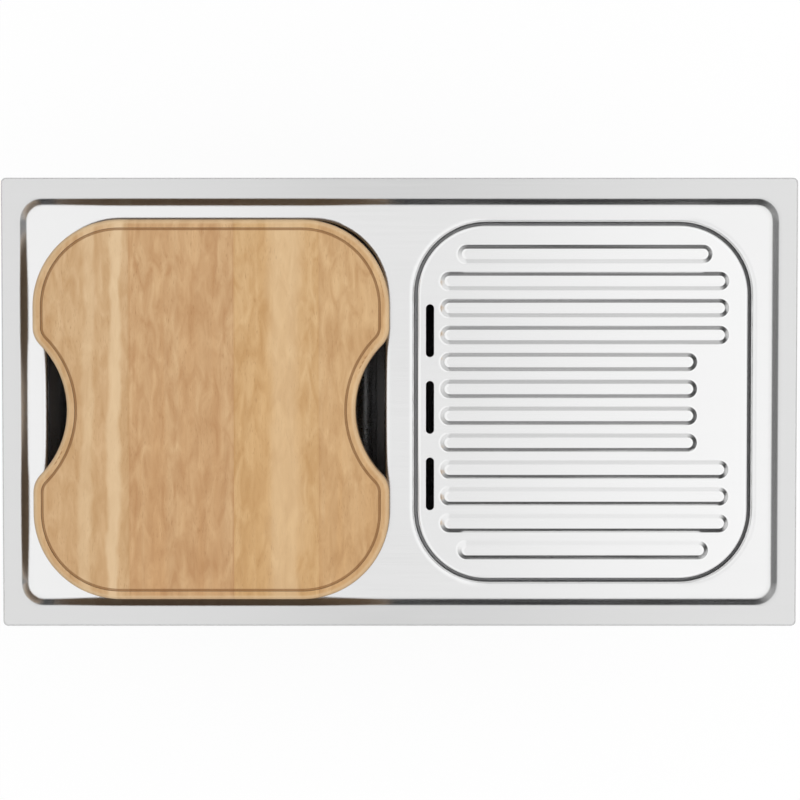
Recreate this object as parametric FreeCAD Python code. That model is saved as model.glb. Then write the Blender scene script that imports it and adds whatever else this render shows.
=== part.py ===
import FreeCAD
import Part
import math
import os

# Inset double-bowl kitchen sink with a chopping board, a drainer tray, two basket wastes,
# two overflows and the pipework that joins them.
# Millimetres. +X runs to the right along the sink, +Y to its back edge, +Z is up.
# The origin is the centre of the rim's seat, on the plane of the worktop's upper face.

# ---- sheet steel -------------------------------------------------------------------------
SHEET = 1.0                 # gauge of the pressed deck, bowls and tray

# ---- rim and deck ------------------------------------------------------------------------
RIM_H = 4.0                 # rim's top above the worktop
RIM_W = 20.0                # flat rim at front and back, from its outer edge to the step
RIM_END_W = 18.0            # and at the two ends
RIM_CORNER_R = 5.0
LIP_BEND_R = 2.5            # rounding of the turned-down outer edge
LIP_CLEARANCE = 0.3         # between the turned-down edge and the worktop
RIM_FIELD_R = 0.3           # corner of the flat field inside the turned-down edge's bend
STEP_DROP = 7.0             # the deck lies this far below the rim
STEP_RUN = 7.0
STEP_CORNER_R = 22.0
STEP_BEND_R = 2.0
SIDE_LAND = 19.0            # deck between a mouth and the step, at the two ends
FRONT_LAND = 16.0           # deck between a mouth and the step, at front and back

# ---- bowl mouths -------------------------------------------------------------------------
MOUTH_W = 331.0
MOUTH_D = 354.0
MOUTH_R = 71.0
MOUTH_BEND_R = 5.0          # rolled edge between deck and mouth
MOUTH_SKIRT = 8.0           # height of the rolled edge, down to the weld
BRIDGE_W = 30.0             # deck between the two mouths

# ---- bowls -------------------------------------------------------------------------------
BOWL_DEPTH = 160.0          # from the deck to the foot of the walls
LEDGE_DROP = 2.0            # from the weld to the ledge
LEDGE_W = 8.0               # sloping ledge that carries the tray
LEDGE_FALL = 8.0            # fall of the ledge towards the bowl
LEDGE_INNER_R = 1.2
LEDGE_NOSE_R = 3.0
FLOOR_BEND_R = 28.0         # rounding between walls and floor
FLOOR_BORDER = 6.0          # flat floor between that rounding and the fall
FLOOR_FALL = 3.0            # fall of the floor towards the waste
RECESS_R = 60.0             # recess round the waste hole
RECESS_DROP = 3.5
RECESS_SLOPE = 2.0
RECESS_BORDER = 2.0
RECESS_BEND_R = 2.2
WASTE_HOLE_R = 45.0

# ---- rim seal ----------------------------------------------------------------------------
SEAL_W = 8.0
SEAL_SETBACK = 2.5          # from the rim's outer edge

# ---- worktop clips -----------------------------------------------------------------------
WORKTOP_T = 38.0
CLIP_INNER_X = 90.0
CLIP_OUTER_X = 300.0
CLIP_SIDE_Y = 100.0
BRACKET_T = 1.5
BRACKET_W = 22.0
BRACKET_FLANGE = 10.0
BRACKET_H = 22.0
BRACKET_BEND_R = 2.0
HOOK_T = 2.0
HOOK_W = 16.0
HOOK_BEND_R = 3.0
HOOK_SAG = 6.0              # hook's plate below the worktop's underside
TOE_SETBACK = 4.0           # hook's toe from the rim's outer edge
CLIP_CLEARANCE = 0.3
CLIP_SCREW_R = 2.5
CLIP_HEAD_R = 4.5
CLIP_HEAD_H = 4.0
CLIP_SCREW_TIP = 3.0        # screw's end above the bracket's lower flange

# ---- sound pads --------------------------------------------------------------------------
PAD_T = 2.5
PAD_LENGTH = 180.0
PAD_HEIGHT = 70.0
PAD_CORNER_R = 8.0
PAD_DROP = 90.0             # pad's centre below the deck

# ---- basket waste ------------------------------------------------------------------------
GASKET_T = 2.0
FLANGE_R = 56.0             # strainer dish's flange
FLANGE_LIP = 1.0            # flange's outer edge turns down by this much
FLANGE_BEND_R = 1.4
DISH_T = 1.0
NECK_R = 42.0               # dish's bore
NECK_BEND_R = 3.0
NECK_DEPTH = 34.0           # from the flange to the seat of the basket's seal
SEAT_R = 34.0               # inner edge of that seat
SEAT_BEND_R = 1.6
DISH_WELL = 8.0             # from the seat to the perforated bottom
DISH_HOLE_R = 3.0
DISH_HOLE_RINGS = ((14.0, 8), (23.0, 12))
STRAINER_SCREW_R = 4.0
STRAINER_HEAD_R = 7.0
STRAINER_HEAD_H = 3.5
STRAINER_SCREW_LENGTH = 20.0
SCREW_CLEARANCE = 0.2
SLOT_W = 1.6                # screwdriver slot
SLOT_DEPTH = 1.5
BODY_CLEARANCE = 3.0        # waste body's bore outside the dish's neck
BODY_WALL = 2.5
BODY_FLANGE_R = 55.0
BODY_FLANGE_T = 4.0
BODY_GAP = 3.0              # under the dish's bottom, before the body tapers
BODY_TAPER = 12.0
OUTLET_LENGTH = 24.0
SPIDER_BAR_W = 3.0
SPIDER_BAR_H = 8.0
SPIDER_BAR_REACH = 29.0
BOSS_R = 7.0
BOSS_H = 16.0
BOSS_GAP = 0.5

# ---- basket ------------------------------------------------------------------------------
BASKET_T = 0.8
BASKET_RIM_GAP = 0.8        # between the basket's rim and the dish's bore
BASKET_RIM_DROP = 1.5       # basket's rim below the dish's flange
BASKET_RIM_W = 2.0
BASKET_RIM_BEND_R = 0.8
BASKET_FOOT_R = 36.0
BASKET_BEND_R = 2.2
BASKET_SEAL_T = 3.0
BASKET_SEAL_IN = 30.0
BASKET_SEAL_OUT = 39.8
BASKET_HOLE_R = 2.2
BASKET_WALL_ROWS = 3
BASKET_WALL_HOLES = 20
BASKET_FLOOR_RINGS = ((11.0, 8), (19.0, 14), (26.0, 18))
POST_R = 2.5
POST_FOOT_R = 5.0
POST_FOOT_H = 1.6
KNOB_R = 9.5
KNOB_NECK_R = 5.7
KNOB_NECK_H = 3.0
KNOB_H = 9.0
KNOB_BENDS = (1.0, 1.5, 2.0, 3.0)   # roundings, from the knob's neck to its top
KNOB_RISE = 6.0             # underside of the knob above the dish's flange

# ---- overflow ----------------------------------------------------------------------------
OVERFLOW_DROP = 44.0        # overflow's axis below the deck
OVERFLOW_HOLE_R = 13.0
ROSETTE_R = 27.0
ROSETTE_RISE = 5.0          # rosette's face off the wall
ROSETTE_T = 0.8
ROSETTE_LIP = 3.0
ROSETTE_BEND_R = 1.6
ROSETTE_HOLE_R = 2.4
ROSETTE_HOLE_RINGS = ((9.0, 8), (16.0, 14))
OVERFLOW_SCREW_R = 3.0
OVERFLOW_SCREW_LENGTH = 30.0
OVERFLOW_HEAD_R = 5.5
OVERFLOW_HEAD_H = 2.5
OVERFLOW_GASKET_T = 3.0
ELBOW_FLANGE_R = 21.0
ELBOW_FLANGE_T = 3.0
ELBOW_R = 17.0
ELBOW_LENGTH = 31.0
ELBOW_WALL = 2.5
ELBOW_BOSS_R = 5.0
SPIGOT_R = 9.5
SPIGOT_BORE_R = 7.5
SPIGOT_SETBACK = 18.0       # spigot's axis behind the elbow's flange
SPIGOT_REACH = 27.0         # spigot's end below the elbow's barrel

# ---- ribbed overflow hose ----------------------------------------------------------------
HOSE_CLEARANCE = 0.3        # hose's bore over a spigot
HOSE_CUFF_R = 12.0
HOSE_VALLEY_R = 11.4
HOSE_CREST_R = 13.5
HOSE_CUFF = 16.0
HOSE_RIB_PITCH = 4.6
HOSE_VALLEY = (0.15, 0.4)   # where a rib's valley starts and ends, as shares of the pitch
HOSE_CREST = (0.6, 0.95)    # and its crest
HOSE_BEND_R = 53.0
HOSE_ENTRY = 5.0            # gap between a hose's end and the part that its spigot stands on
INLET_DROP = 16.0           # waste body's inlet below the body's flange
INLET_REACH = 37.0

# ---- waste pipes -------------------------------------------------------------------------
PIPE_R = 20.0               # 40 mm plastic waste pipe
PIPE_WALL = 2.0
SOCKET_CLEARANCE = 0.3
SOCKET_DEPTH = 10.0
SOCKET_WALL = 3.2
PIPE_BEND_R = 46.0
PIPE_DROP = 26.0            # straight pipe under a waste body, above its bend
NUT_R = 28.5
NUT_THREAD = 14.0
NUT_LIP = 3.0
NUT_RIBS = 16
NUT_RIB_R = 1.8
NUT_RIB_PROUD = 1.2         # ribs stand out of the nut by this much
NUT_RIB_MARGIN = 3.0
NUT_FOOT_R = 2.0
NUT_TOP_R = 1.0
PIPE_SEAL_H = 7.0
PIPE_END_GAP = 1.0          # between a pipe's end and the bottom of its socket
THREAD_CLEARANCE = 0.15
TEE_HALF = 48.0
TEE_BORE_R = 19.0
TEE_WALL = 3.0
TEE_NECK_R = 21.0           # outlet above its collar
TEE_BODY_HALF = 24.0
TEE_OUTLET = 60.0           # end of the outlet under the tee's axis
TEE_COLLAR_R = 23.0
TEE_COLLAR_GAP = 5.0        # between the tee's run and the collar on its outlet
TEE_COLLAR_T = 6.0

# ---- drainer tray ------------------------------------------------------------------------
TRAY_CLEARANCE = 2.5        # all round, in the mouth
TRAY_SUNK = 1.5             # tray's face below the deck
TRAY_BEND_R = 3.5
TRAY_SEAT_GAP = 0.2         # between the tray's edge and the ledge
RIB_COUNT = 12
RIB_W = 20.0                # at the foot of its slopes
RIB_TOP_W = 8.0
RIB_H = 4.5
RIB_CREST_R = 4.0
RIB_FOOT_R = 3.0
RIB_SKIRT = 1.5             # flat sheet round a rib's foot
RIB_EDGE = 28.75            # first rib's axis from the tray's front edge
RIB_LEFT_MARGIN = 21.8      # ribs' left ends from the tray's edge
RIB_CORNER_SETBACK = 17.0   # further in for the first and last rib
RIB_RIGHT_MARGIN = 18.8
RIB_SHORT_MARGIN = 49.8     # four ribs that leave a bare field on the right
RIB_FRONT_MARGIN = 38.5
RIB_BACK_MARGIN = 35.3
SHORT_RIBS = (4, 5, 6, 7)
TRAY_SLOT_W = 8.0
TRAY_SLOT_L = 52.0
TRAY_SLOT_PITCH = 75.5
TRAY_SLOT_COUNT = 3
TRAY_SLOT_MARGIN = 12.5
TRAY_SLOT_SHIFT = -5.0      # row of slots off the tray's centre, towards the front

# ---- chopping board ----------------------------------------------------------------------
BOARD_T = 20.0
BOARD_LAP = 8.5             # board's reach past the mouth, each side
BOARD_CORNER_EASE = 6.0     # board's corners are this much rounder than the mouth's
BOARD_SHIFT_X = -3.1        # where the board lies on the mouth
BOARD_SHIFT_Y = -6.9
WAIST_DEPTH = 33.0
WAIST_R = 90.0
WAIST_BLEND_R = 25.0
BOARD_OVOLO_R = 6.5
BOARD_FOOT_R = 1.5
QUIRK_INSET = 8.5
QUIRK_W = 2.6
QUIRK_DEPTH = 1.6
TONGUE_INSET = 17.0         # locating tongue that hangs in the mouth
TONGUE_H = 6.0
STAVE_SEAMS = (-79.5, 22.5, 105.0)
STAVE_NAMES = ("board_left_stave", "board_second_stave", "board_third_stave",
               "board_right_stave")

# ---- worked out from the above -----------------------------------------------------------
SINK_W = BRIDGE_W + 2 * (MOUTH_W + SIDE_LAND + STEP_RUN + RIM_END_W)
SINK_D = MOUTH_D + 2 * (FRONT_LAND + STEP_RUN + RIM_W)
BOWL_X = (MOUTH_W + BRIDGE_W) / 2
DECK_Z = RIM_H - STEP_DROP
WELD_Z = DECK_Z - MOUTH_SKIRT
LEDGE_Z = WELD_Z - LEDGE_DROP
FLOOR_Z = DECK_Z - BOWL_DEPTH
WALL_X = MOUTH_W / 2 - LEDGE_W
WALL_Y = MOUTH_D / 2 - LEDGE_W
FALL_R = RECESS_R + RECESS_BORDER
RECESS_Z = FLOOR_Z - FLOOR_FALL - RECESS_DROP
FLANGE_Z = RECESS_Z + GASKET_T + DISH_T
SEAT_Z = FLANGE_Z - NECK_DEPTH
DISH_BOTTOM_Z = SEAT_Z - DISH_WELL
BODY_TOP_Z = RECESS_Z - SHEET - GASKET_T
BODY_BORE_R = NECK_R + DISH_T + BODY_CLEARANCE
BODY_BOTTOM_Z = DISH_BOTTOM_Z - DISH_T - BODY_GAP
SOCKET_BORE_R = PIPE_R + SOCKET_CLEARANCE
THREAD_R = SOCKET_BORE_R + SOCKET_WALL
PIPE_BORE_R = PIPE_R - PIPE_WALL
OUTLET_Z = BODY_BOTTOM_Z - BODY_TAPER - OUTLET_LENGTH
INLET_Z = BODY_TOP_Z - BODY_FLANGE_T - INLET_DROP
PIPE_AXIS_Z = OUTLET_Z - PIPE_DROP - PIPE_BEND_R
OVERFLOW_Z = DECK_Z - OVERFLOW_DROP
ELBOW_Y = WALL_Y + SHEET + OVERFLOW_GASKET_T
HOSE_BORE_R = SPIGOT_R + HOSE_CLEARANCE
TRAY_W = MOUTH_W - 2 * TRAY_CLEARANCE
TRAY_D = MOUTH_D - 2 * TRAY_CLEARANCE
TRAY_R = MOUTH_R - TRAY_CLEARANCE
TRAY_Z = DECK_Z - TRAY_SUNK
TRAY_FOOT_Z = LEDGE_Z - TRAY_CLEARANCE * LEDGE_FALL / LEDGE_W + TRAY_SEAT_GAP
BOARD_W = MOUTH_W + 2 * BOARD_LAP
BOARD_D = MOUTH_D + 2 * BOARD_LAP
BOARD_CORNER_R = MOUTH_R + BOARD_LAP + BOARD_CORNER_EASE
CLIP_SCREW_X = (BRACKET_FLANGE + BRACKET_T) / 2   # clip's screw from its bracket's web
TINY = 1e-6
LEVEL = 1e-5                # heights closer than this are the same
OVERRUN = 1.0               # a drill runs past what it cuts by this much
X_AXIS = FreeCAD.Vector(1, 0, 0)
Y_AXIS = FreeCAD.Vector(0, 1, 0)
Z_AXIS = FreeCAD.Vector(0, 0, 1)


# ---- outlines and profiles ---------------------------------------------------------------
def point(x, y, z):
    return FreeCAD.Vector(x, y, z)


def heading(start, end):
    """Unit vector from one flat point to another."""
    across = end[0] - start[0]
    up = end[1] - start[1]
    length = math.hypot(across, up)
    return across / length, up / length


def rounded_corner(before, corner, after, radius):
    """First, middle and last point of the arc that rounds a corner."""
    arrive = heading(before, corner)
    leave = heading(corner, after)
    cosine = arrive[0] * leave[0] + arrive[1] * leave[1]
    half_turn = math.acos(max(-1.0, min(1.0, cosine))) / 2
    cut = radius * math.tan(half_turn)
    first = (corner[0] - cut * arrive[0], corner[1] - cut * arrive[1])
    last = (corner[0] + cut * leave[0], corner[1] + cut * leave[1])
    inward = heading((arrive[0], arrive[1]), (leave[0], leave[1]))
    depth = radius / math.cos(half_turn) - radius
    middle = (corner[0] + depth * inward[0], corner[1] + depth * inward[1])
    return first, middle, last


def closed_wire(corners, radii, lift):
    """Closed wire through flat corners, each rounded by its radius, put in space by lift."""
    count = len(corners)
    stops = []
    for i in range(count):
        if radii[i] > 0:
            stops.append(rounded_corner(corners[i - 1], corners[i], corners[(i + 1) % count],
                                        radii[i]))
        else:
            stops.append((corners[i],))
    edges = []
    for i in range(count):
        if len(stops[i]) == 3:
            edges.append(Part.Arc(*[lift(*p) for p in stops[i]]).toShape())
        start = lift(*stops[i][-1])
        end = lift(*stops[(i + 1) % count][0])
        if (end - start).Length > TINY:
            edges.append(Part.LineSegment(start, end).toShape())
    return Part.Wire(edges)


def sheet_section(corners, bends, thickness):
    """Section of a folded sheet: its face runs through corners, its back lies to their right.

    Returns the closed outline's corners and radii. A negative thickness lies to the left."""
    last = len(corners) - 1
    back = []
    back_bends = []
    for i in range(last + 1):
        arrive = heading(corners[max(i, 1) - 1], corners[max(i, 1)])
        leave = heading(corners[min(i, last - 1)], corners[min(i, last - 1) + 1])
        share = thickness / (1 + arrive[0] * leave[0] + arrive[1] * leave[1])
        back.append((corners[i][0] + share * (arrive[1] + leave[1]),
                     corners[i][1] - share * (arrive[0] + leave[0])))
        turn = arrive[0] * leave[1] - arrive[1] * leave[0]
        grow = math.copysign(thickness, turn * thickness) if abs(turn) > TINY else 0.0
        back_bends.append(bends[i] + grow if bends[i] > 0 else 0.0)
    return corners + back[::-1], bends + back_bends[::-1]


def outline(half_x, half_y, corner_r, z=0.0):
    """Rounded rectangle about the Z axis, starting in the middle of its right side."""
    corners = [(half_x, 0), (half_x, half_y), (-half_x, half_y), (-half_x, -half_y),
               (half_x, -half_y)]
    radii = [0, corner_r, corner_r, corner_r, corner_r]
    return closed_wire(corners, radii, lambda x, y: point(x, y, z))


def prism(wire, height):
    return Part.Face(wire).extrude(Z_AXIS * height)


def swept_ring(half_x, half_y, corner_r, corners, radii):
    """Section carried round a rounded rectangle; its first value is measured outwards."""
    section = closed_wire(corners, radii, lambda u, z: point(half_x + u, 0, z))
    return outline(half_x, half_y, corner_r).makePipe(Part.Face(section))


def turned(corners, radii=None):
    """Section in (radius, height) turned about the Z axis."""
    radii = radii or [0] * len(corners)
    section = closed_wire(corners, radii, lambda r, z: point(r, 0, z))
    return Part.Face(section).revolve(point(0, 0, 0), Z_AXIS, 360)


def tube(outer_r, inner_r, low, high):
    return turned([(inner_r, low), (outer_r, low), (outer_r, high), (inner_r, high)])


def rod(radius, low, high):
    return Part.makeCylinder(radius, high - low, point(0, 0, low))


def box(low, high):
    size = [high[i] - low[i] for i in range(3)]
    return Part.makeBox(*size, point(*low))


def joined(shapes):
    """One solid from shapes that meet face to face or overlap."""
    return shapes[0].multiFuse(shapes[1:]).removeSplitter()


def moved(shape, x=0.0, y=0.0, z=0.0):
    copy = shape.copy()
    copy.translate(point(x, y, z))
    return copy


def turned_to(shape, axis, degrees, x=0.0, y=0.0, z=0.0):
    """Copy that is turned about an axis through the origin, then moved."""
    copy = shape.copy()
    copy.rotate(point(0, 0, 0), axis, degrees)
    copy.translate(point(x, y, z))
    return copy


def mirrored(shape):
    return shape.mirror(point(0, 0, 0), X_AXIS)


def hole_rings(rings, radius, low, high):
    """Upright drills on circles about the Z axis."""
    drills = []
    for ring_r, count in rings:
        for i in range(count):
            angle = 2 * math.pi * i / count
            drills.append(moved(rod(radius, low, high), ring_r * math.cos(angle),
                                ring_r * math.sin(angle)))
    return drills


# ---- deck and bowls ----------------------------------------------------------------------
def rim_lip():
    """Turned-down outer edge of the rim."""
    inward = RIM_CORNER_R - RIM_FIELD_R
    corners, radii = sheet_section([(-inward, RIM_H), (0, RIM_H), (0, LIP_CLEARANCE)],
                                   [0, LIP_BEND_R, 0], SHEET)
    return swept_ring(SINK_W / 2, SINK_D / 2, RIM_CORNER_R, corners, radii)


def rim_step(half_x, half_y, flat):
    """Step from rim to deck, with a flat strip on both sides of its two bends."""
    corners, radii = sheet_section(
        [(-STEP_RUN - flat, DECK_Z), (-STEP_RUN, DECK_Z), (0, RIM_H), (flat, RIM_H)],
        [0, STEP_BEND_R, STEP_BEND_R, 0], SHEET)
    return swept_ring(half_x, half_y, STEP_CORNER_R, corners, radii)


def mouth_edge(flat):
    """Rolled edge of a mouth, down to its weld."""
    corners, radii = sheet_section([(0, WELD_Z), (0, DECK_Z), (flat, DECK_Z)],
                                   [0, MOUTH_BEND_R, 0], SHEET)
    return swept_ring(MOUTH_W / 2, MOUTH_D / 2, MOUTH_R, corners, radii)


def sink_deck():
    inward = RIM_CORNER_R - RIM_FIELD_R
    step_x = SINK_W / 2 - RIM_END_W
    step_y = SINK_D / 2 - RIM_W
    step_flat = STEP_BEND_R
    mouth_flat = MOUTH_BEND_R + SHEET
    rim = prism(outline(SINK_W / 2 - inward, SINK_D / 2 - inward, RIM_CORNER_R - inward,
                        RIM_H - SHEET), SHEET)
    rim = rim.cut(prism(outline(step_x + step_flat, step_y + step_flat,
                                STEP_CORNER_R + step_flat, RIM_H - SHEET), SHEET))
    deck_inset = STEP_RUN + step_flat
    deck = prism(outline(step_x - deck_inset, step_y - deck_inset,
                         STEP_CORNER_R - deck_inset, DECK_Z - SHEET), SHEET)
    pieces = [rim, rim_lip(), rim_step(step_x, step_y, step_flat)]
    mouth = prism(outline(MOUTH_W / 2 + mouth_flat, MOUTH_D / 2 + mouth_flat,
                          MOUTH_R + mouth_flat, DECK_Z - SHEET), SHEET)
    edge = mouth_edge(mouth_flat)
    for x in (-BOWL_X, BOWL_X):
        deck = deck.cut(moved(mouth, x))
        pieces.append(moved(edge, x))
    return joined(pieces + [deck])


def floor_space(drop):
    """Space above the sloping floor, its surface lowered by drop."""
    inset = LEDGE_W + FLOOR_BEND_R + FLOOR_BORDER
    half_x = MOUTH_W / 2 - inset
    half_y = MOUTH_D / 2 - inset
    corner_r = MOUTH_R - inset
    edge = outline(half_x, half_y, corner_r, FLOOR_Z - drop)
    foot = []
    for i in range(len(edge.Edges)):
        ends = [e.Point for e in edge.OrderedVertexes] + [edge.OrderedVertexes[0].Point]
        first = math.atan2(ends[i].y, ends[i].x)
        last = math.atan2(ends[i + 1].y, ends[i + 1].x)
        if last < first:
            last += 2 * math.pi
        middle = (first + last) / 2
        low = FLOOR_Z - FLOOR_FALL - drop
        foot.append(Part.Arc(*[point(FALL_R * math.cos(a), FALL_R * math.sin(a), low)
                               for a in (first, middle, last)]).toShape())
    funnel = Part.makeLoft([edge, Part.Wire(foot)], True, True)
    return funnel.fuse(prism(edge, drop + SHEET))


def bowl():
    """Left or right bowl, centred on the Z axis."""
    inset = LEDGE_W + FLOOR_BEND_R + FLOOR_BORDER
    corners, radii = sheet_section(
        [(0, WELD_Z), (0, LEDGE_Z), (-LEDGE_W, LEDGE_Z - LEDGE_FALL), (-LEDGE_W, FLOOR_Z),
         (-inset, FLOOR_Z)],
        [0, LEDGE_INNER_R, LEDGE_NOSE_R, FLOOR_BEND_R, 0], -SHEET)
    wall = swept_ring(MOUTH_W / 2, MOUTH_D / 2, MOUTH_R, corners, radii)
    slope = floor_space(SHEET).cut(floor_space(0.0))
    slope = slope.cut(rod(FALL_R, FLOOR_Z - FLOOR_FALL - SHEET - OVERRUN, FLOOR_Z))
    top = FLOOR_Z - FLOOR_FALL
    corners, radii = sheet_section(
        [(FALL_R, top), (RECESS_R, top), (RECESS_R - RECESS_SLOPE, RECESS_Z),
         (WASTE_HOLE_R, RECESS_Z)],
        [0, RECESS_BEND_R, RECESS_BEND_R, 0], -SHEET)
    shell = joined([wall, slope, turned(corners, radii)])
    hole = Part.makeCylinder(OVERFLOW_HOLE_R, SHEET + 2 * OVERRUN,
                             point(0, WALL_Y - OVERRUN, OVERFLOW_Z), Y_AXIS)
    return shell.cut(hole)


def rim_seal():
    outer_x = SINK_W / 2 - SEAL_SETBACK
    outer_y = SINK_D / 2 - SEAL_SETBACK
    outer_r = RIM_CORNER_R - SEAL_SETBACK
    height = RIM_H - SHEET
    ring = prism(outline(outer_x, outer_y, outer_r), height)
    hole = prism(outline(outer_x - SEAL_W, outer_y - SEAL_W, outer_r), height)
    return ring.cut(hole)


def pad(width, height):
    """Sound pad that lies on the XZ plane, its back on y = 0."""
    flat = prism(outline(width / 2, height / 2, PAD_CORNER_R), PAD_T)
    return turned_to(flat, X_AXIS, 90)


def sound_pads(outward):
    """Three pads on one bowl; outward is +1 for the right bowl and -1 for the left."""
    centre = outward * BOWL_X
    z = DECK_Z - PAD_DROP
    face = pad(PAD_LENGTH, PAD_HEIGHT)
    front = moved(face, centre, -WALL_Y - SHEET, z)
    right = turned_to(face, Z_AXIS, 90, centre + WALL_X + SHEET, 0, z)
    left = turned_to(face, Z_AXIS, -90, centre - WALL_X - SHEET, 0, z)
    return Part.makeCompound([front, right, left])


# ---- worktop clips -----------------------------------------------------------------------
def strip(corners, bends, thickness, width):
    """Folded strip in the XZ plane, as wide as width along Y."""
    corners, radii = sheet_section(corners, bends, thickness)
    wire = closed_wire(corners, radii, lambda x, z: point(x, -width / 2, z))
    return Part.Face(wire).extrude(Y_AXIS * width)


def clip_bracket():
    """Bracket under the deck. Its web is at x = 0 and the worktop is towards +X."""
    top = DECK_Z - SHEET
    shape = strip([(BRACKET_FLANGE, top), (0, top), (0, top - BRACKET_H),
                   (BRACKET_FLANGE, top - BRACKET_H)],
                  [0, BRACKET_BEND_R, BRACKET_BEND_R, 0], -BRACKET_T, BRACKET_W)
    low = top - BRACKET_H
    hole = rod(CLIP_SCREW_R + SCREW_CLEARANCE, low - OVERRUN, low + BRACKET_T + OVERRUN)
    return shape.cut(moved(hole, CLIP_SCREW_X))


def clip_hook(reach):
    """Hook that is drawn up under the worktop; reach is from the bracket's web to its toe."""
    heel = DECK_Z - SHEET - BRACKET_H - CLIP_CLEARANCE
    toe = -WORKTOP_T - CLIP_CLEARANCE
    plate = -WORKTOP_T - HOOK_SAG
    shape = strip([(0, heel), (0, plate), (reach, plate), (reach, toe)],
                  [0, HOOK_BEND_R, HOOK_BEND_R, 0], -HOOK_T, HOOK_W)
    hole = rod(CLIP_SCREW_R + SCREW_CLEARANCE, plate - OVERRUN, plate + HOOK_T + OVERRUN)
    return shape.cut(moved(hole, CLIP_SCREW_X))


def clip_screw():
    plate = -WORKTOP_T - HOOK_SAG
    tip = DECK_Z - SHEET - BRACKET_H + BRACKET_T + CLIP_SCREW_TIP
    head = rod(CLIP_HEAD_R, plate - CLIP_HEAD_H, plate)
    slot = box((-CLIP_HEAD_R, -SLOT_W / 2, plate - CLIP_HEAD_H),
               (CLIP_HEAD_R, SLOT_W / 2, plate - CLIP_HEAD_H + SLOT_DEPTH))
    screw = joined([head, rod(CLIP_SCREW_R, plate, tip)]).cut(slot)
    return moved(screw, CLIP_SCREW_X)


def clip_places():
    """Place and turn of every clip: (x, y, degrees about Z), at the bracket's web."""
    web_y = MOUTH_D / 2 + MOUTH_BEND_R + SHEET
    web_x = BOWL_X + MOUTH_W / 2 + MOUTH_BEND_R + SHEET
    places = []
    for x in (-CLIP_OUTER_X, -CLIP_INNER_X, CLIP_INNER_X, CLIP_OUTER_X):
        places.append((x, web_y, 90))
        places.append((x, -web_y, -90))
    for y in (-CLIP_SIDE_Y, CLIP_SIDE_Y):
        places.append((web_x, y, 0))
        places.append((-web_x, y, 180))
    return places


def clip_group(make):
    """All copies of one clip piece; make takes the reach from web to toe."""
    copies = []
    for x, y, degrees in clip_places():
        along_x = degrees in (0, 180)
        edge = SINK_W / 2 if along_x else SINK_D / 2
        web = abs(x) if along_x else abs(y)
        copies.append(turned_to(make(edge - TOE_SETBACK - web), Z_AXIS, degrees, x, y))
    return Part.makeCompound(copies)


# ---- basket waste, centred on the Z axis -------------------------------------------------
def strainer_dish():
    corners, radii = sheet_section(
        [(FLANGE_R, FLANGE_Z - DISH_T - FLANGE_LIP), (FLANGE_R, FLANGE_Z),
         (NECK_R, FLANGE_Z), (NECK_R, SEAT_Z), (SEAT_R, SEAT_Z), (SEAT_R, DISH_BOTTOM_Z),
         (0, DISH_BOTTOM_Z)],
        [0, FLANGE_BEND_R, NECK_BEND_R, SEAT_BEND_R, SEAT_BEND_R, SEAT_BEND_R, 0],
        -DISH_T)
    dish = turned(corners, radii)
    low = DISH_BOTTOM_Z - DISH_T - OVERRUN
    high = DISH_BOTTOM_Z + OVERRUN
    drills = hole_rings(DISH_HOLE_RINGS, DISH_HOLE_R, low, high)
    drills.append(rod(STRAINER_SCREW_R + SCREW_CLEARANCE, low, high))
    return dish.cut(drills)


def cheese_head_screw(radius, length, head_r, head_h):
    """Screw on the Z axis; the underside of its head is at z = 0 and it points down."""
    slot = box((-head_r, -SLOT_W / 2, head_h - SLOT_DEPTH), (head_r, SLOT_W / 2, head_h))
    return joined([rod(head_r, 0, head_h), rod(radius, -length, 0)]).cut(slot)


def strainer_screw():
    screw = cheese_head_screw(STRAINER_SCREW_R, STRAINER_SCREW_LENGTH, STRAINER_HEAD_R,
                              STRAINER_HEAD_H)
    return moved(screw, 0, 0, DISH_BOTTOM_Z)


def flange_gasket():
    return tube(FLANGE_R - DISH_T - FLANGE_LIP, WASTE_HOLE_R, RECESS_Z, RECESS_Z + GASKET_T)


def body_gasket():
    return tube(BODY_FLANGE_R, BODY_BORE_R, BODY_TOP_Z, BODY_TOP_Z + GASKET_T)


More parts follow.
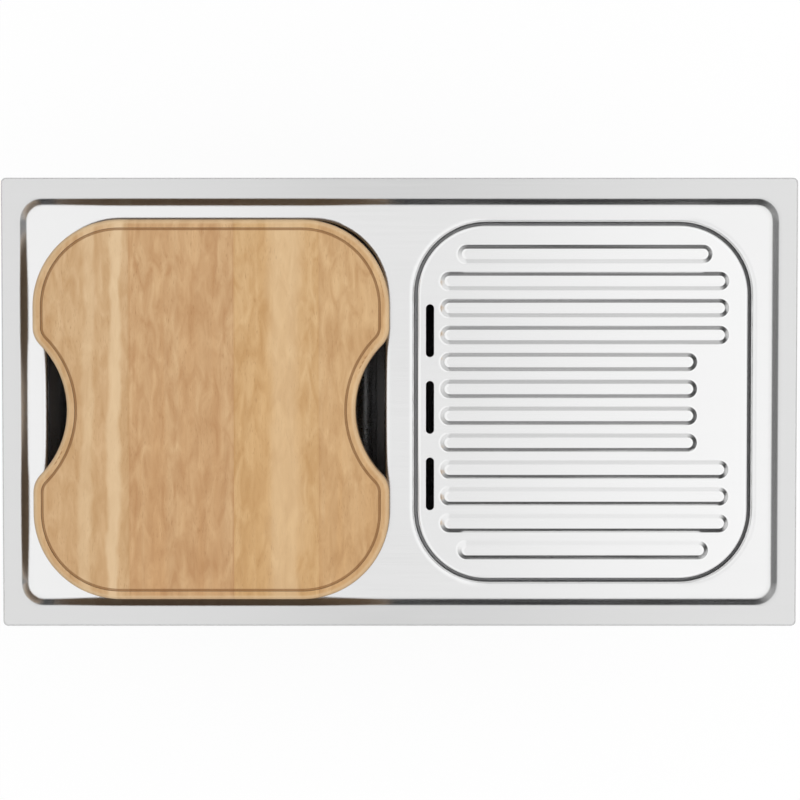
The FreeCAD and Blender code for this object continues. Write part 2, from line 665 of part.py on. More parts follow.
def waste_body():
    taper_z = BODY_BOTTOM_Z - BODY_TAPER
    flange_z = BODY_TOP_Z - BODY_FLANGE_T
    outer_r = BODY_BORE_R + BODY_WALL
    shell = turned([
        (BODY_BORE_R, BODY_TOP_Z), (BODY_BORE_R, BODY_BOTTOM_Z), (PIPE_BORE_R, taper_z),
        (PIPE_BORE_R, OUTLET_Z + SOCKET_DEPTH), (SOCKET_BORE_R, OUTLET_Z + SOCKET_DEPTH),
        (SOCKET_BORE_R, OUTLET_Z), (THREAD_R, OUTLET_Z), (THREAD_R, taper_z - BODY_WALL),
        (outer_r, BODY_BOTTOM_Z - BODY_WALL), (outer_r, flange_z), (BODY_FLANGE_R, flange_z),
        (BODY_FLANGE_R, BODY_TOP_Z)])
    boss_top = DISH_BOTTOM_Z - DISH_T - BOSS_GAP
    bar_top = taper_z + SPIDER_BAR_H
    bars = [box((-SPIDER_BAR_REACH, -SPIDER_BAR_W / 2, taper_z),
                (SPIDER_BAR_REACH, SPIDER_BAR_W / 2, bar_top)),
            box((-SPIDER_BAR_W / 2, -SPIDER_BAR_REACH, taper_z),
                (SPIDER_BAR_W / 2, SPIDER_BAR_REACH, bar_top))]
    spigot = Part.makeCylinder(SPIGOT_R, INLET_REACH, point(0, BODY_BORE_R, INLET_Z), Y_AXIS)
    body = joined([shell, rod(BOSS_R, boss_top - BOSS_H, boss_top), spigot] + bars)
    inlet = Part.makeCylinder(SPIGOT_BORE_R, INLET_REACH + BODY_WALL,
                              point(0, BODY_BORE_R - BODY_WALL, INLET_Z), Y_AXIS)
    thread = rod(STRAINER_SCREW_R + SCREW_CLEARANCE, boss_top - BOSS_H - OVERRUN,
                 boss_top + OVERRUN)
    return body.cut([inlet, thread])


def basket():
    rim_r = NECK_R - BASKET_RIM_GAP
    rim_z = FLANGE_Z - BASKET_RIM_DROP
    floor_z = SEAT_Z + BASKET_SEAL_T + BASKET_T
    corners, radii = sheet_section(
        [(rim_r, rim_z), (rim_r - BASKET_RIM_W, rim_z), (BASKET_FOOT_R, floor_z), (0, floor_z)],
        [0, BASKET_RIM_BEND_R, BASKET_BEND_R, 0], -BASKET_T)
    cup = turned(corners, radii)
    low = floor_z - BASKET_T - OVERRUN
    high = floor_z + OVERRUN
    drills = hole_rings(BASKET_FLOOR_RINGS, BASKET_HOLE_R, low, high)
    drills.append(rod(POST_R, low, high))
    spacing = (rim_z - floor_z) / (BASKET_WALL_ROWS + 1)
    for row in range(BASKET_WALL_ROWS):
        z = floor_z + (row + 1) * spacing
        for i in range(BASKET_WALL_HOLES):
            turn = 360 * (i + 0.5 * (row % 2)) / BASKET_WALL_HOLES
            drill = Part.makeCylinder(BASKET_HOLE_R, NECK_R, point(0, 0, z), X_AXIS)
            drills.append(turned_to(drill, Z_AXIS, turn))
    return cup.cut(drills)


def basket_post():
    floor_z = SEAT_Z + BASKET_SEAL_T
    knob_z = FLANGE_Z + KNOB_RISE
    top = knob_z + KNOB_H
    foot = floor_z - POST_FOOT_H
    corners = [(0, foot), (POST_FOOT_R, foot), (POST_FOOT_R, floor_z), (POST_R, floor_z),
               (POST_R, knob_z), (KNOB_NECK_R, knob_z), (KNOB_R, knob_z + KNOB_NECK_H),
               (KNOB_R, top), (0, top)]
    return turned(corners, [0, 0, 0, 0, *KNOB_BENDS, 0])


def basket_seal():
    return tube(BASKET_SEAL_OUT, BASKET_SEAL_IN, SEAT_Z, SEAT_Z + BASKET_SEAL_T)


# ---- overflow, its axis along +Y from the bowl's inner wall -------------------------------
def along_wall(shape):
    """Turn a piece made about +Z so that it points out through the bowl's back wall."""
    return turned_to(shape, X_AXIS, -90, 0, WALL_Y, OVERFLOW_Z)


def overflow_rosette():
    corners, radii = sheet_section(
        [(0, -ROSETTE_RISE), (ROSETTE_R - ROSETTE_LIP, -ROSETTE_RISE),
         (ROSETTE_R, -ROSETTE_T)],
        [0, ROSETTE_BEND_R, 0], -ROSETTE_T)
    cover = turned(corners, radii)
    trim = rod(ROSETTE_R + OVERRUN, 0, ROSETTE_RISE)
    front = -ROSETTE_RISE - OVERRUN
    drills = hole_rings(ROSETTE_HOLE_RINGS, ROSETTE_HOLE_R, front, 0)
    drills.append(rod(OVERFLOW_SCREW_R + SCREW_CLEARANCE, front, 0))
    return along_wall(cover.cut(drills + [trim]))


def overflow_screw():
    screw = cheese_head_screw(OVERFLOW_SCREW_R, OVERFLOW_SCREW_LENGTH, OVERFLOW_HEAD_R,
                              OVERFLOW_HEAD_H)
    return along_wall(moved(turned_to(screw, X_AXIS, 180), 0, 0, -ROSETTE_RISE))


def overflow_gasket():
    return along_wall(tube(ELBOW_FLANGE_R, OVERFLOW_HOLE_R, SHEET, SHEET + OVERFLOW_GASKET_T))


def overflow_elbow():
    """Plastic elbow behind the wall, with a spigot that points down."""
    seat = SHEET + OVERFLOW_GASKET_T
    barrel = joined([rod(ELBOW_FLANGE_R, seat, seat + ELBOW_FLANGE_T),
                     rod(ELBOW_R, seat, seat + ELBOW_LENGTH)])
    bore = rod(ELBOW_R - ELBOW_WALL, seat - OVERRUN, seat + ELBOW_LENGTH - ELBOW_WALL)
    spigot_length = ELBOW_R + SPIGOT_REACH
    spigot_y = seat + SPIGOT_SETBACK
    spigot = Part.makeCylinder(SPIGOT_R, spigot_length, point(0, 0, spigot_y), Y_AXIS)
    outlet = Part.makeCylinder(SPIGOT_BORE_R, spigot_length + OVERRUN,
                               point(0, 0, spigot_y), Y_AXIS)
    boss_start = seat + ELBOW_FLANGE_T
    boss = rod(ELBOW_BOSS_R, boss_start, seat + ELBOW_LENGTH)
    thread = rod(OVERFLOW_SCREW_R + SCREW_CLEARANCE, boss_start - OVERRUN,
                 seat + ELBOW_LENGTH - ELBOW_WALL)
    hollow = joined([barrel, spigot]).cut([bore, outlet])
    return along_wall(joined([hollow, boss]).cut(thread))


def hose_stations():
    """Start (y, z) of the hose's centre line, the height of its bend, and its end's y."""
    start_y = ELBOW_Y + SPIGOT_SETBACK
    start_z = OVERFLOW_Z - ELBOW_R - HOSE_ENTRY
    bend_z = INLET_Z + HOSE_BEND_R
    end_y = BODY_FLANGE_R + HOSE_ENTRY
    return start_y, start_z, bend_z, end_y


def hose_place(travelled):
    """Centre (y, z) and turn about X of the hose's section, this far along it."""
    start_y, start_z, bend_z, end_y = hose_stations()
    first = start_z - bend_z
    bend = HOSE_BEND_R * math.pi / 2
    if travelled <= first:
        return start_y, start_z - travelled, 0.0
    if travelled <= first + bend:
        angle = (travelled - first) / HOSE_BEND_R
        centre_y = start_y - HOSE_BEND_R
        return (centre_y + HOSE_BEND_R * math.cos(angle),
                bend_z - HOSE_BEND_R * math.sin(angle), math.degrees(angle))
    return start_y - HOSE_BEND_R - (travelled - first - bend), INLET_Z, 90.0


def hose_length():
    start_y, start_z, bend_z, end_y = hose_stations()
    return (start_z - bend_z) + HOSE_BEND_R * math.pi / 2 + (start_y - HOSE_BEND_R - end_y)


def hose_circle(travelled, radius):
    """Circle across the hose; every circle starts on its +X side."""
    y, z, turn = hose_place(travelled)
    circle = Part.Circle(point(0, 0, 0), Z_AXIS, radius).toShape()
    return Part.Wire([turned_to(circle, X_AXIS, -turn, 0, y, z)])


def overflow_hose():
    """Ribbed hose from the elbow down and round to the waste body's inlet."""
    length = hose_length()
    ribbed = length - 2 * HOSE_CUFF
    count = int(ribbed / HOSE_RIB_PITCH)
    pitch = ribbed / count
    circles = [hose_circle(0, HOSE_CUFF_R), hose_circle(HOSE_CUFF, HOSE_CUFF_R)]
    for i in range(count):
        start = HOSE_CUFF + i * pitch
        for radius, shares in ((HOSE_VALLEY_R, HOSE_VALLEY), (HOSE_CREST_R, HOSE_CREST)):
            circles += [hose_circle(start + share * pitch, radius) for share in shares]
    circles.append(hose_circle(length - HOSE_CUFF + HOSE_VALLEY[0] * pitch, HOSE_CUFF_R))
    circles.append(hose_circle(length, HOSE_CUFF_R))
    outside = Part.makeLoft(circles, True, True)
    start_y, start_z, bend_z, end_y = hose_stations()
    knee = math.sqrt(0.5) * HOSE_BEND_R
    centre = (start_y - HOSE_BEND_R, bend_z)
    path = Part.Wire([
        Part.LineSegment(point(0, start_y, start_z), point(0, start_y, bend_z)).toShape(),
        Part.Arc(point(0, start_y, bend_z), point(0, centre[0] + knee, centre[1] - knee),
                 point(0, centre[0], INLET_Z)).toShape(),
        Part.LineSegment(point(0, centre[0], INLET_Z), point(0, end_y, INLET_Z)).toShape()])
    bore = path.makePipe(Part.Face(hose_circle(0, HOSE_BORE_R)))
    return outside.cut(bore)


# ---- waste pipes -------------------------------------------------------------------------
def pipe_nut():
    """Ribbed nut on a socket's thread. The socket's mouth is at z = 0 and points down."""
    low = -PIPE_SEAL_H - NUT_LIP
    nut = turned([(THREAD_R + THREAD_CLEARANCE, NUT_THREAD),
                  (THREAD_R + THREAD_CLEARANCE, -PIPE_SEAL_H),
                  (PIPE_R + SOCKET_CLEARANCE, -PIPE_SEAL_H), (PIPE_R + SOCKET_CLEARANCE, low),
                  (NUT_R, low), (NUT_R, NUT_THREAD)],
                 [0, 0, 0, 0, NUT_FOOT_R, NUT_TOP_R])
    ribs = hole_rings(((NUT_R - NUT_RIB_R + NUT_RIB_PROUD, NUT_RIBS),), NUT_RIB_R,
                      low + NUT_RIB_MARGIN, NUT_THREAD - NUT_RIB_MARGIN)
    return joined([nut] + ribs)


def pipe_seal():
    return tube(THREAD_R - SOCKET_CLEARANCE, PIPE_R + THREAD_CLEARANCE, -PIPE_SEAL_H, 0)


def waste_bend():
    """Pipe from under the right waste body to the tee."""
    top = OUTLET_Z + SOCKET_DEPTH - PIPE_END_GAP
    bend_z = PIPE_AXIS_Z + PIPE_BEND_R
    knee = math.sqrt(0.5) * PIPE_BEND_R
    inner_x = BOWL_X - PIPE_BEND_R
    end_x = TEE_HALF - SOCKET_DEPTH + PIPE_END_GAP
    path = Part.Wire([
        Part.LineSegment(point(BOWL_X, 0, top), point(BOWL_X, 0, bend_z)).toShape(),
        Part.Arc(point(BOWL_X, 0, bend_z), point(inner_x + knee, 0, bend_z - knee),
                 point(inner_x, 0, PIPE_AXIS_Z)).toShape(),
        Part.LineSegment(point(inner_x, 0, PIPE_AXIS_Z),
                         point(end_x, 0, PIPE_AXIS_Z)).toShape()])
    sections = [Part.Face(Part.Wire([Part.Circle(point(BOWL_X, 0, top), Z_AXIS, r).toShape()]))
                for r in (PIPE_R, PIPE_BORE_R)]
    return path.makePipe(sections[0]).cut(path.makePipe(sections[1]))


def drain_tee():
    run = rod(TEE_BORE_R + TEE_WALL, -TEE_BODY_HALF, TEE_BODY_HALF)
    ends = [rod(THREAD_R, TEE_BODY_HALF, TEE_HALF), rod(THREAD_R, -TEE_HALF, -TEE_BODY_HALF)]
    run = turned_to(joined([run] + ends), Y_AXIS, 90)
    collar_top = -TEE_BORE_R - TEE_WALL - TEE_COLLAR_GAP
    outlet = joined([rod(PIPE_R, -TEE_OUTLET, collar_top), rod(TEE_NECK_R, collar_top, 0),
                     rod(TEE_COLLAR_R, collar_top - TEE_COLLAR_T, collar_top)])
    bores = [turned_to(rod(TEE_BORE_R, -TEE_HALF, TEE_HALF), Y_AXIS, 90),
             rod(PIPE_BORE_R, -TEE_OUTLET, 0)]
    for low in (TEE_HALF - SOCKET_DEPTH, -TEE_HALF):
        bores.append(turned_to(rod(SOCKET_BORE_R, low, low + SOCKET_DEPTH), Y_AXIS, 90))
    return moved(joined([run, outlet]).cut(bores), 0, 0, PIPE_AXIS_Z)


# ---- drainer tray, centred on the Z axis -------------------------------------------------
def pressed_rib(x_start, x_end, y):
    """Raised rib with round ends, and a flat skirt round its foot: one sheet in three parts."""
    foot = RIB_W / 2
    top = RIB_TOP_W / 2
    outer = foot + RIB_SKIRT
    crest = TRAY_Z + RIB_H
    half, half_bends = sheet_section([(0, crest), (top, crest), (foot, TRAY_Z), (outer, TRAY_Z)],
                                     [0, RIB_CREST_R, RIB_FOOT_R, 0], SHEET)
    whole, bends = sheet_section(
        [(-outer, TRAY_Z), (-foot, TRAY_Z), (-top, crest), (top, crest), (foot, TRAY_Z),
         (outer, TRAY_Z)],
        [0, RIB_FOOT_R, RIB_CREST_R, RIB_CREST_R, RIB_FOOT_R, 0], SHEET)
    section = closed_wire(whole, bends, lambda u, z: point(x_start, y + u, z))
    middle = Part.Face(section).extrude(X_AXIS * (x_end - x_start))
    end_face = Part.Face(closed_wire(half, half_bends, lambda r, z: point(0, r, z)))
    left_end = end_face.revolve(point(0, 0, 0), Z_AXIS, 180)
    right_end = turned_to(left_end, Z_AXIS, 180)
    return [moved(left_end, x_start, y), middle, moved(right_end, x_end, y)]


def rib_gap(x_start, x_end, y):
    """Hole in the tray's field that a rib and its skirt fill."""
    outer = RIB_W / 2 + RIB_SKIRT
    wire = outline((x_end - x_start) / 2 + outer, outer, outer, TRAY_Z - SHEET)
    return moved(prism(wire, SHEET), (x_start + x_end) / 2, y)


def rib_span(index):
    """Left and right end of a rib's flat middle, from the tray's centre."""
    left = -TRAY_W / 2 + RIB_LEFT_MARGIN + RIB_W / 2
    right = TRAY_W / 2 - RIB_RIGHT_MARGIN - RIB_W / 2
    if index in (0, RIB_COUNT - 1):
        left += RIB_CORNER_SETBACK
        margin = RIB_FRONT_MARGIN if index == 0 else RIB_BACK_MARGIN
        right = TRAY_W / 2 - margin - RIB_W / 2
    elif index in SHORT_RIBS:
        right = TRAY_W / 2 - RIB_SHORT_MARGIN - RIB_W / 2
    return left, right


def tray_slot(y):
    """Round-ended slot along Y, cut right through the tray."""
    wire = outline(TRAY_SLOT_W / 2, TRAY_SLOT_L / 2, TRAY_SLOT_W / 2, TRAY_Z - SHEET - OVERRUN)
    return moved(prism(wire, SHEET + 2 * OVERRUN), -TRAY_W / 2 + TRAY_SLOT_MARGIN, y)


def drainer_tray():
    flat = TRAY_BEND_R + SHEET
    corners, radii = sheet_section([(-flat, TRAY_Z), (0, TRAY_Z), (0, TRAY_FOOT_Z)],
                                   [0, TRAY_BEND_R, 0], SHEET)
    edge = swept_ring(TRAY_W / 2, TRAY_D / 2, TRAY_R, corners, radii)
    field = prism(outline(TRAY_W / 2 - flat, TRAY_D / 2 - flat, TRAY_R - flat,
                          TRAY_Z - SHEET), SHEET)
    ribs = []
    gaps = []
    pitch = (TRAY_D - 2 * RIB_EDGE) / (RIB_COUNT - 1)
    for i in range(RIB_COUNT):
        y = -TRAY_D / 2 + RIB_EDGE + i * pitch
        left, right = rib_span(i)
        ribs += pressed_rib(left, right, y)
        gaps.append(rib_gap(left, right, y))
    middle = (TRAY_SLOT_COUNT - 1) / 2
    slots = [tray_slot((i - middle) * TRAY_SLOT_PITCH + TRAY_SLOT_SHIFT)
             for i in range(TRAY_SLOT_COUNT)]
    return joined([edge, field.cut(gaps)] + ribs).cut(slots)


# ---- chopping board, centred on the Z axis -----------------------------------------------
def arc_about(x, y, z, radius, first, last):
    circle = Part.Circle(point(x, y, z), Z_AXIS, radius)
    return Part.ArcOfCircle(circle, first, last).toShape()


def line(start, end):
    return Part.LineSegment(start, end).toShape()


def board_outline(inset, z):
    """Waisted outline, drawn in by inset. Each waist is an arc about a point beside it."""
    half_x = BOARD_W / 2 - inset
    half_y = BOARD_D / 2 - inset
    corner_x = BOARD_W / 2 - BOARD_CORNER_R
    corner_y = BOARD_D / 2 - BOARD_CORNER_R
    reach = WAIST_R + WAIST_BLEND_R
    blend_y = math.sqrt(WAIST_DEPTH * (2 * reach - WAIST_DEPTH))
    blend_x = BOARD_W / 2 - WAIST_BLEND_R
    waist_x = BOARD_W / 2 - WAIST_DEPTH + WAIST_R
    swing = math.asin(blend_y / reach)
    corner_r = BOARD_CORNER_R - inset
    blend_r = WAIST_BLEND_R - inset
    right = [
        line(point(half_x, -corner_y, z), point(half_x, -blend_y, z)),
        arc_about(blend_x, -blend_y, z, blend_r, 0, swing),
        arc_about(waist_x, 0, z, WAIST_R + inset, math.pi - swing, math.pi + swing),
        arc_about(blend_x, blend_y, z, blend_r, -swing, 0),
        line(point(half_x, blend_y, z), point(half_x, corner_y, z)),
        arc_about(corner_x, corner_y, z, corner_r, 0, math.pi / 2),
        arc_about(corner_x, -corner_y, z, corner_r, -math.pi / 2, 0)]
    ends = [line(point(-corner_x, half_y, z), point(corner_x, half_y, z)),
            line(point(-corner_x, -half_y, z), point(corner_x, -half_y, z))]
    edges = right + [mirrored(edge) for edge in right] + ends
    return Part.Wire(Part.sortEdges(edges)[0])


def edges_at(shape, z):
    """Edges that lie in the level plane at this height."""
    return [e for e in shape.Edges
            if abs(e.BoundBox.ZMin - z) < LEVEL and abs(e.BoundBox.ZMax - z) < LEVEL]


def board_blank():
    """Whole board, before it is parted into its staves."""
    top = DECK_Z + BOARD_T
    slab = prism(board_outline(0, DECK_Z), BOARD_T)
    slab = slab.makeFillet(BOARD_OVOLO_R, edges_at(slab, top))
    slab = slab.makeFillet(BOARD_FOOT_R, edges_at(slab, DECK_Z))
    groove = prism(board_outline(QUIRK_INSET, top - QUIRK_DEPTH), 2 * QUIRK_DEPTH)
    groove = groove.cut(prism(board_outline(QUIRK_INSET + QUIRK_W, top - QUIRK_DEPTH),
                              2 * QUIRK_DEPTH))
    tongue = prism(board_outline(TONGUE_INSET, DECK_Z - TONGUE_H), TONGUE_H)
    return joined([slab.cut(groove), tongue])


def board_staves():
    """Node name and solid of each stave."""
    blank = board_blank()
    ends = (-BOARD_W,) + STAVE_SEAMS + (BOARD_W,)
    staves = []
    for i, name in enumerate(STAVE_NAMES):
        slice_box = box((ends[i], -BOARD_D, DECK_Z - BOARD_T),
                        (ends[i + 1], BOARD_D, DECK_Z + 2 * BOARD_T))
        staves.append((name, moved(blank.common(slice_box), -BOWL_X + BOARD_SHIFT_X,
                                   BOARD_SHIFT_Y)))
    return staves


# ---- the whole sink ----------------------------------------------------------------------
def waste_pieces():
    """Pieces that both bowls have alike, centred on the Z axis."""
    nut = pipe_nut()
    seal = pipe_seal()
    return {
        "strainer_dish": strainer_dish(), "strainer_screw": strainer_screw(),
        "flange_gasket": flange_gasket(), "body_gasket": body_gasket(),
        "waste_body": waste_body(), "basket": basket(), "basket_post": basket_post(),
        "basket_seal": basket_seal(), "overflow_rosette": overflow_rosette(),
        "overflow_screw": overflow_screw(), "overflow_gasket": overflow_gasket(),
        "overflow_elbow": overflow_elbow(), "overflow_hose": overflow_hose(),
        "waste_nut": moved(nut, 0, 0, OUTLET_Z), "waste_seal": moved(seal, 0, 0, OUTLET_Z),
    }


def all_nodes():
    nodes = {"sink_deck": sink_deck(), "rim_seal": rim_seal(), "drain_tee": drain_tee()}
    nodes["clip_brackets"] = clip_group(lambda reach: clip_bracket())
    nodes["clip_hooks"] = clip_group(clip_hook)
    nodes["clip_screws"] = clip_group(lambda reach: clip_screw())
    one_bowl = bowl()
    shared = waste_pieces()
    bend = waste_bend()
    for side, outward in (("left", -1), ("right", 1)):
        centre = outward * BOWL_X
        nodes[side + "_bowl"] = moved(one_bowl, centre)
        nodes[side + "_sound_pads"] = sound_pads(outward)
        for name, shape in shared.items():
            nodes[side + "_" + name] = moved(shape, centre)
        nodes[side + "_waste_bend"] = bend if outward > 0 else mirrored(bend)
        tee_mouth = (outward * TEE_HALF, 0, PIPE_AXIS_Z)
        for name, shape in (("_tee_nut", pipe_nut()), ("_tee_seal", pipe_seal())):
            nodes[side + name] = turned_to(shape, Y_AXIS, -90 * outward, *tee_mouth)
    nodes["drainer_tray"] = moved(drainer_tray(), BOWL_X)
    for name, stave in board_staves():
        nodes[name] = stave
    return nodes


def main():
    os.makedirs("parts", exist_ok=True)
    for name, shape in all_nodes().items():
        shape.exportStep("parts/" + name + ".step")
    print("hose length", round(hose_length(), 1), "mm")


main()
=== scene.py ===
import bmesh
import bpy
import math
from mathutils import Matrix, Vector

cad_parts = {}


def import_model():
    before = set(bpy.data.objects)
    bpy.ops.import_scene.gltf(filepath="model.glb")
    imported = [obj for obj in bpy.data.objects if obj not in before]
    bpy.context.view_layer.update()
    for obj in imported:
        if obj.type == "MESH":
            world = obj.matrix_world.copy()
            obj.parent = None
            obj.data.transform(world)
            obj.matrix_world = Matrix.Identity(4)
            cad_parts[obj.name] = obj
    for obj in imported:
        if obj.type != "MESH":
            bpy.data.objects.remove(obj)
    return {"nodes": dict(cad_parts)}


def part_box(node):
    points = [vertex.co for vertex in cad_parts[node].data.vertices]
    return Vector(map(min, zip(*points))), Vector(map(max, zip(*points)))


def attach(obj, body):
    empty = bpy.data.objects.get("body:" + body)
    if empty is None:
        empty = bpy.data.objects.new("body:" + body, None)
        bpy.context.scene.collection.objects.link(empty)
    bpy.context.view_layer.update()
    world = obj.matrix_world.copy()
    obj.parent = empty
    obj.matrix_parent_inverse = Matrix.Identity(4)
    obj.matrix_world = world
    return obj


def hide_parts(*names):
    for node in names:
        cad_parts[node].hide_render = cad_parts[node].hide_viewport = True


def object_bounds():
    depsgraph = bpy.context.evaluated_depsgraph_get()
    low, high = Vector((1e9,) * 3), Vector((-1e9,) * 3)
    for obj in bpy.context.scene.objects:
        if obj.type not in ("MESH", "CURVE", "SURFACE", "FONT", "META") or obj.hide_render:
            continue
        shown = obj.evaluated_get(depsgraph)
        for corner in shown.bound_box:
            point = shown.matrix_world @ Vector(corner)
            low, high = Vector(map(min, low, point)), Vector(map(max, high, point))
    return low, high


# Inset steel sink with two bowls, a waisted hardwood board, a ribbed drainer tray and the
# waste and overflow fittings under it. Metres; +X right along the sink, +Y to its back edge.

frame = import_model()
CAD_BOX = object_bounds()
MM = 0.001

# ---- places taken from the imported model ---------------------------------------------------
SIDES = ("left", "right")
STAVES = ("board_left_stave", "board_second_stave", "board_third_stave", "board_right_stave")
FLOOR_Z = CAD_BOX[0].z - 0.2 * MM

# ---- real sizes of what is modelled here --------------------------------------------------
RIM_STEP = 7.0 * MM             # drop from the rim to the deck
RIM_SHEET = 1.0 * MM            # gauge of the deck
DECK_EASE = 3.0 * MM            # radius that the pressed edges look eased to
TRAY_EASE = 0.8 * MM
FOAM_W = 8.0 * MM               # foam strip under the rim
FOAM_ROUND = 1.2 * MM
FOAM_CORNER_R = 2.5 * MM
PAD_T = 2.5 * MM
PAD_ROUND = 8.0 * MM            # sound pads' corners
PAD_EDGE = 0.6 * MM
PAD_CORNER_STEPS = 6
PAD_CELL = 9.0 * MM             # pitch of the squares pressed in a sound pad
PAD_CELL_GAP = 1.6 * MM
PAD_CELL_RISE = 0.7 * MM
HOSE_PITCH = 4.6 * MM
HOSE_CUFF = 16.0 * MM
HOSE_CUFF_STEPS = 4
HOSE_CUFF_R = 12.0 * MM
HOSE_VALLEY_R = 11.4 * MM
HOSE_WALL = 1.2 * MM
HOSE_BEND_R = 53.0 * MM
HOSE_SIDES = 40
HOSE_SOFT = 0.2                 # rounding of a rib, as a share of its height
MERGE = 0.05 * MM
QUARTER_TURN = 0.5523           # handle of a Bezier quarter turn, as a share of its radius
BEAD_R = 1.1 * MM               # weld bead between deck and bowl
BEAD_STEPS = 60                 # welder's steps along a side
MOUTH_CORNER_R = 72.0 * MM      # outside of a bowl's corner

# ---- the studio: tops, feet and reaches are parts of a unit direction ---------------------
WALL_LEVEL = 0.03
WALL_TOP = 0.18
CEILING_LEVEL = 1.08
CEILING_FOOT = 0.38
SKY_FOOT = 0.2
SKY_LOW = 0.12
SKY_TOP = 1.35
PANEL_REACH = 0.25
PANEL_TONES = ((0.0, 0.95), (0.26, 0.93), (0.5, 0.80), (0.74, 0.93), (1.0, 1.0))
FLOOR_SIZE = 30
FLOOR_WHITE = 0.9               # the rest of the floor's tone carries the sink's shadow

# ---- the board's wood: shares are the most that each feature takes on ---------------------
OILED_PALE = "#DFC094"
# pale sapwood, also the painted sheen on the board's eased edge
SAPWOOD_AND_SHEEN = "#E8CCA4"
PORE_BROWN = "#96693D"
# the groove's brown is painted shade, with some oil that the groove gathers
GROOVE_SHADE_BROWN = "#93612F"
# the sides' dark tone is painted shade
SIDE_SHADE = "#57493B"
BAND_SHARE = 0.45
BLOTCH_SHARE = 0.8
FIBRE_SHARE = 0.14
PORE_SHARE = 0.5
GROOVE_SHADE_SHARE = 0.6
EASED_SHEEN_SHARE = 0.45
SIDE_SHADE_SHARE = 0.85
SEAM_SHARES = (0.0, 0.55, 0.75, 0.35, 0.0)   # board's left side, three seams, right side
GRAIN_SHIFT = (40, 25, 0)       # how far a stave's place slides its own grain
SEAM_HALF_W = 0.7 * MM
STREAK_WOBBLE = 3.0 * MM
LINE_FADE = 2.0                 # a line fades out over this many of its half widths
GROOVE_REACH = 2.5 * MM         # below the face; the groove ends above this


# ---- nodes and colours --------------------------------------------------------------------
def linear(hex_colour):
    """sRGB hex text to a linear colour with alpha."""
    channels = [int(hex_colour[i:i + 2], 16) / 255 for i in (1, 3, 5)]
    return [c / 12.92 if c <= 0.04045 else ((c + 0.055) / 1.055) ** 2.4 for c in channels] + [1]


def first_output(node):
    return next(output for output in node.outputs if output.enabled)


def add_node(tree, kind, links=None, stops=None, **settings):
    """Adds a node with its settings, its socket values, and a ramp's stops.

    A socket's value is a number, a vector, hex text, a socket, or a node, which gives its first
    output in use."""
    made = tree.nodes.new(kind)
    for name, value in settings.items():
        setattr(made, name, value)
    for socket, value in (links or {}).items():
        if isinstance(value, bpy.types.Node):
            value = first_output(value)
        if isinstance(value, str):
            value = linear(value)
        if isinstance(value, bpy.types.NodeSocket):
            tree.links.new(value, made.inputs[socket])
        else:
            made.inputs[socket].default_value = value
    if stops:
        elements = made.color_ramp.elements
        while len(elements) < len(stops):
            elements.new(1.0)
        for element, (place, colour) in zip(elements, stops):
            element.position = place
            element.color = [colour] * 3 + [1]
    return made


def new_material(name, **shader_values):
    """Material with one Principled shader. Returns the material, its tree and the shader."""
    material = bpy.data.materials.new(name)
    material.use_nodes = True
    tree = material.node_tree
    tree.nodes.clear()
    shader = add_node(tree, "ShaderNodeBsdfPrincipled")
    for socket, value in shader_values.items():
        shader.inputs[socket.replace("_", " ")].default_value = value
    output = add_node(tree, "ShaderNodeOutputMaterial")
    tree.links.new(shader.outputs["BSDF"], output.inputs["Surface"])
    return material, tree, shader


def pattern(tree, size, detail=2.0, shift=(0, 0, 0), distortion=0.0):
    """Noise whose features have this real size along X, Y and Z. Returns its value."""
    where = add_node(tree, "ShaderNodeTexCoord")
    scaled = add_node(tree, "ShaderNodeMapping", {
        "Vector": where.outputs["Object"], "Location": shift,
        "Scale": [1 / s for s in size]})
    noise = add_node(tree, "ShaderNodeTexNoise", {
        "Vector": scaled.outputs["Vector"], "Scale": 1.0, "Detail": detail,
        "Distortion": distortion})
    return noise.outputs["Fac"]


def spread(tree, value, low, high):
    """Stretches a noise's usual range, 0.3 to 0.7, to run from low to high."""
    ranged = add_node(tree, "ShaderNodeMapRange", {
        "Value": value, "From Min": 0.3, "From Max": 0.7, "To Min": low, "To Max": high})
    return ranged.outputs["Result"]


def raised(tree, shader, height, depth, eased=0):
    """Bump of this real depth under a shader, on edges eased to a radius."""
    bump = add_node(tree, "ShaderNodeBump", {"Height": height, "Distance": depth})
    if eased:
        bevel = add_node(tree, "ShaderNodeBevel", {"Radius": eased}, samples=6)
        tree.links.new(bevel.outputs["Normal"], bump.inputs["Normal"])
    tree.links.new(bump.outputs["Normal"], shader.inputs["Normal"])


# ---- materials ----------------------------------------------------------------------------
def surface(tree, shader, colour, roughness):
    """Gives a shader its colour and roughness, each a node or a socket."""
    for name, value in (("Base Color", colour), ("Roughness", roughness)):
        socket = value if isinstance(value, bpy.types.NodeSocket) else first_output(value)
        tree.links.new(socket, shader.inputs[name])


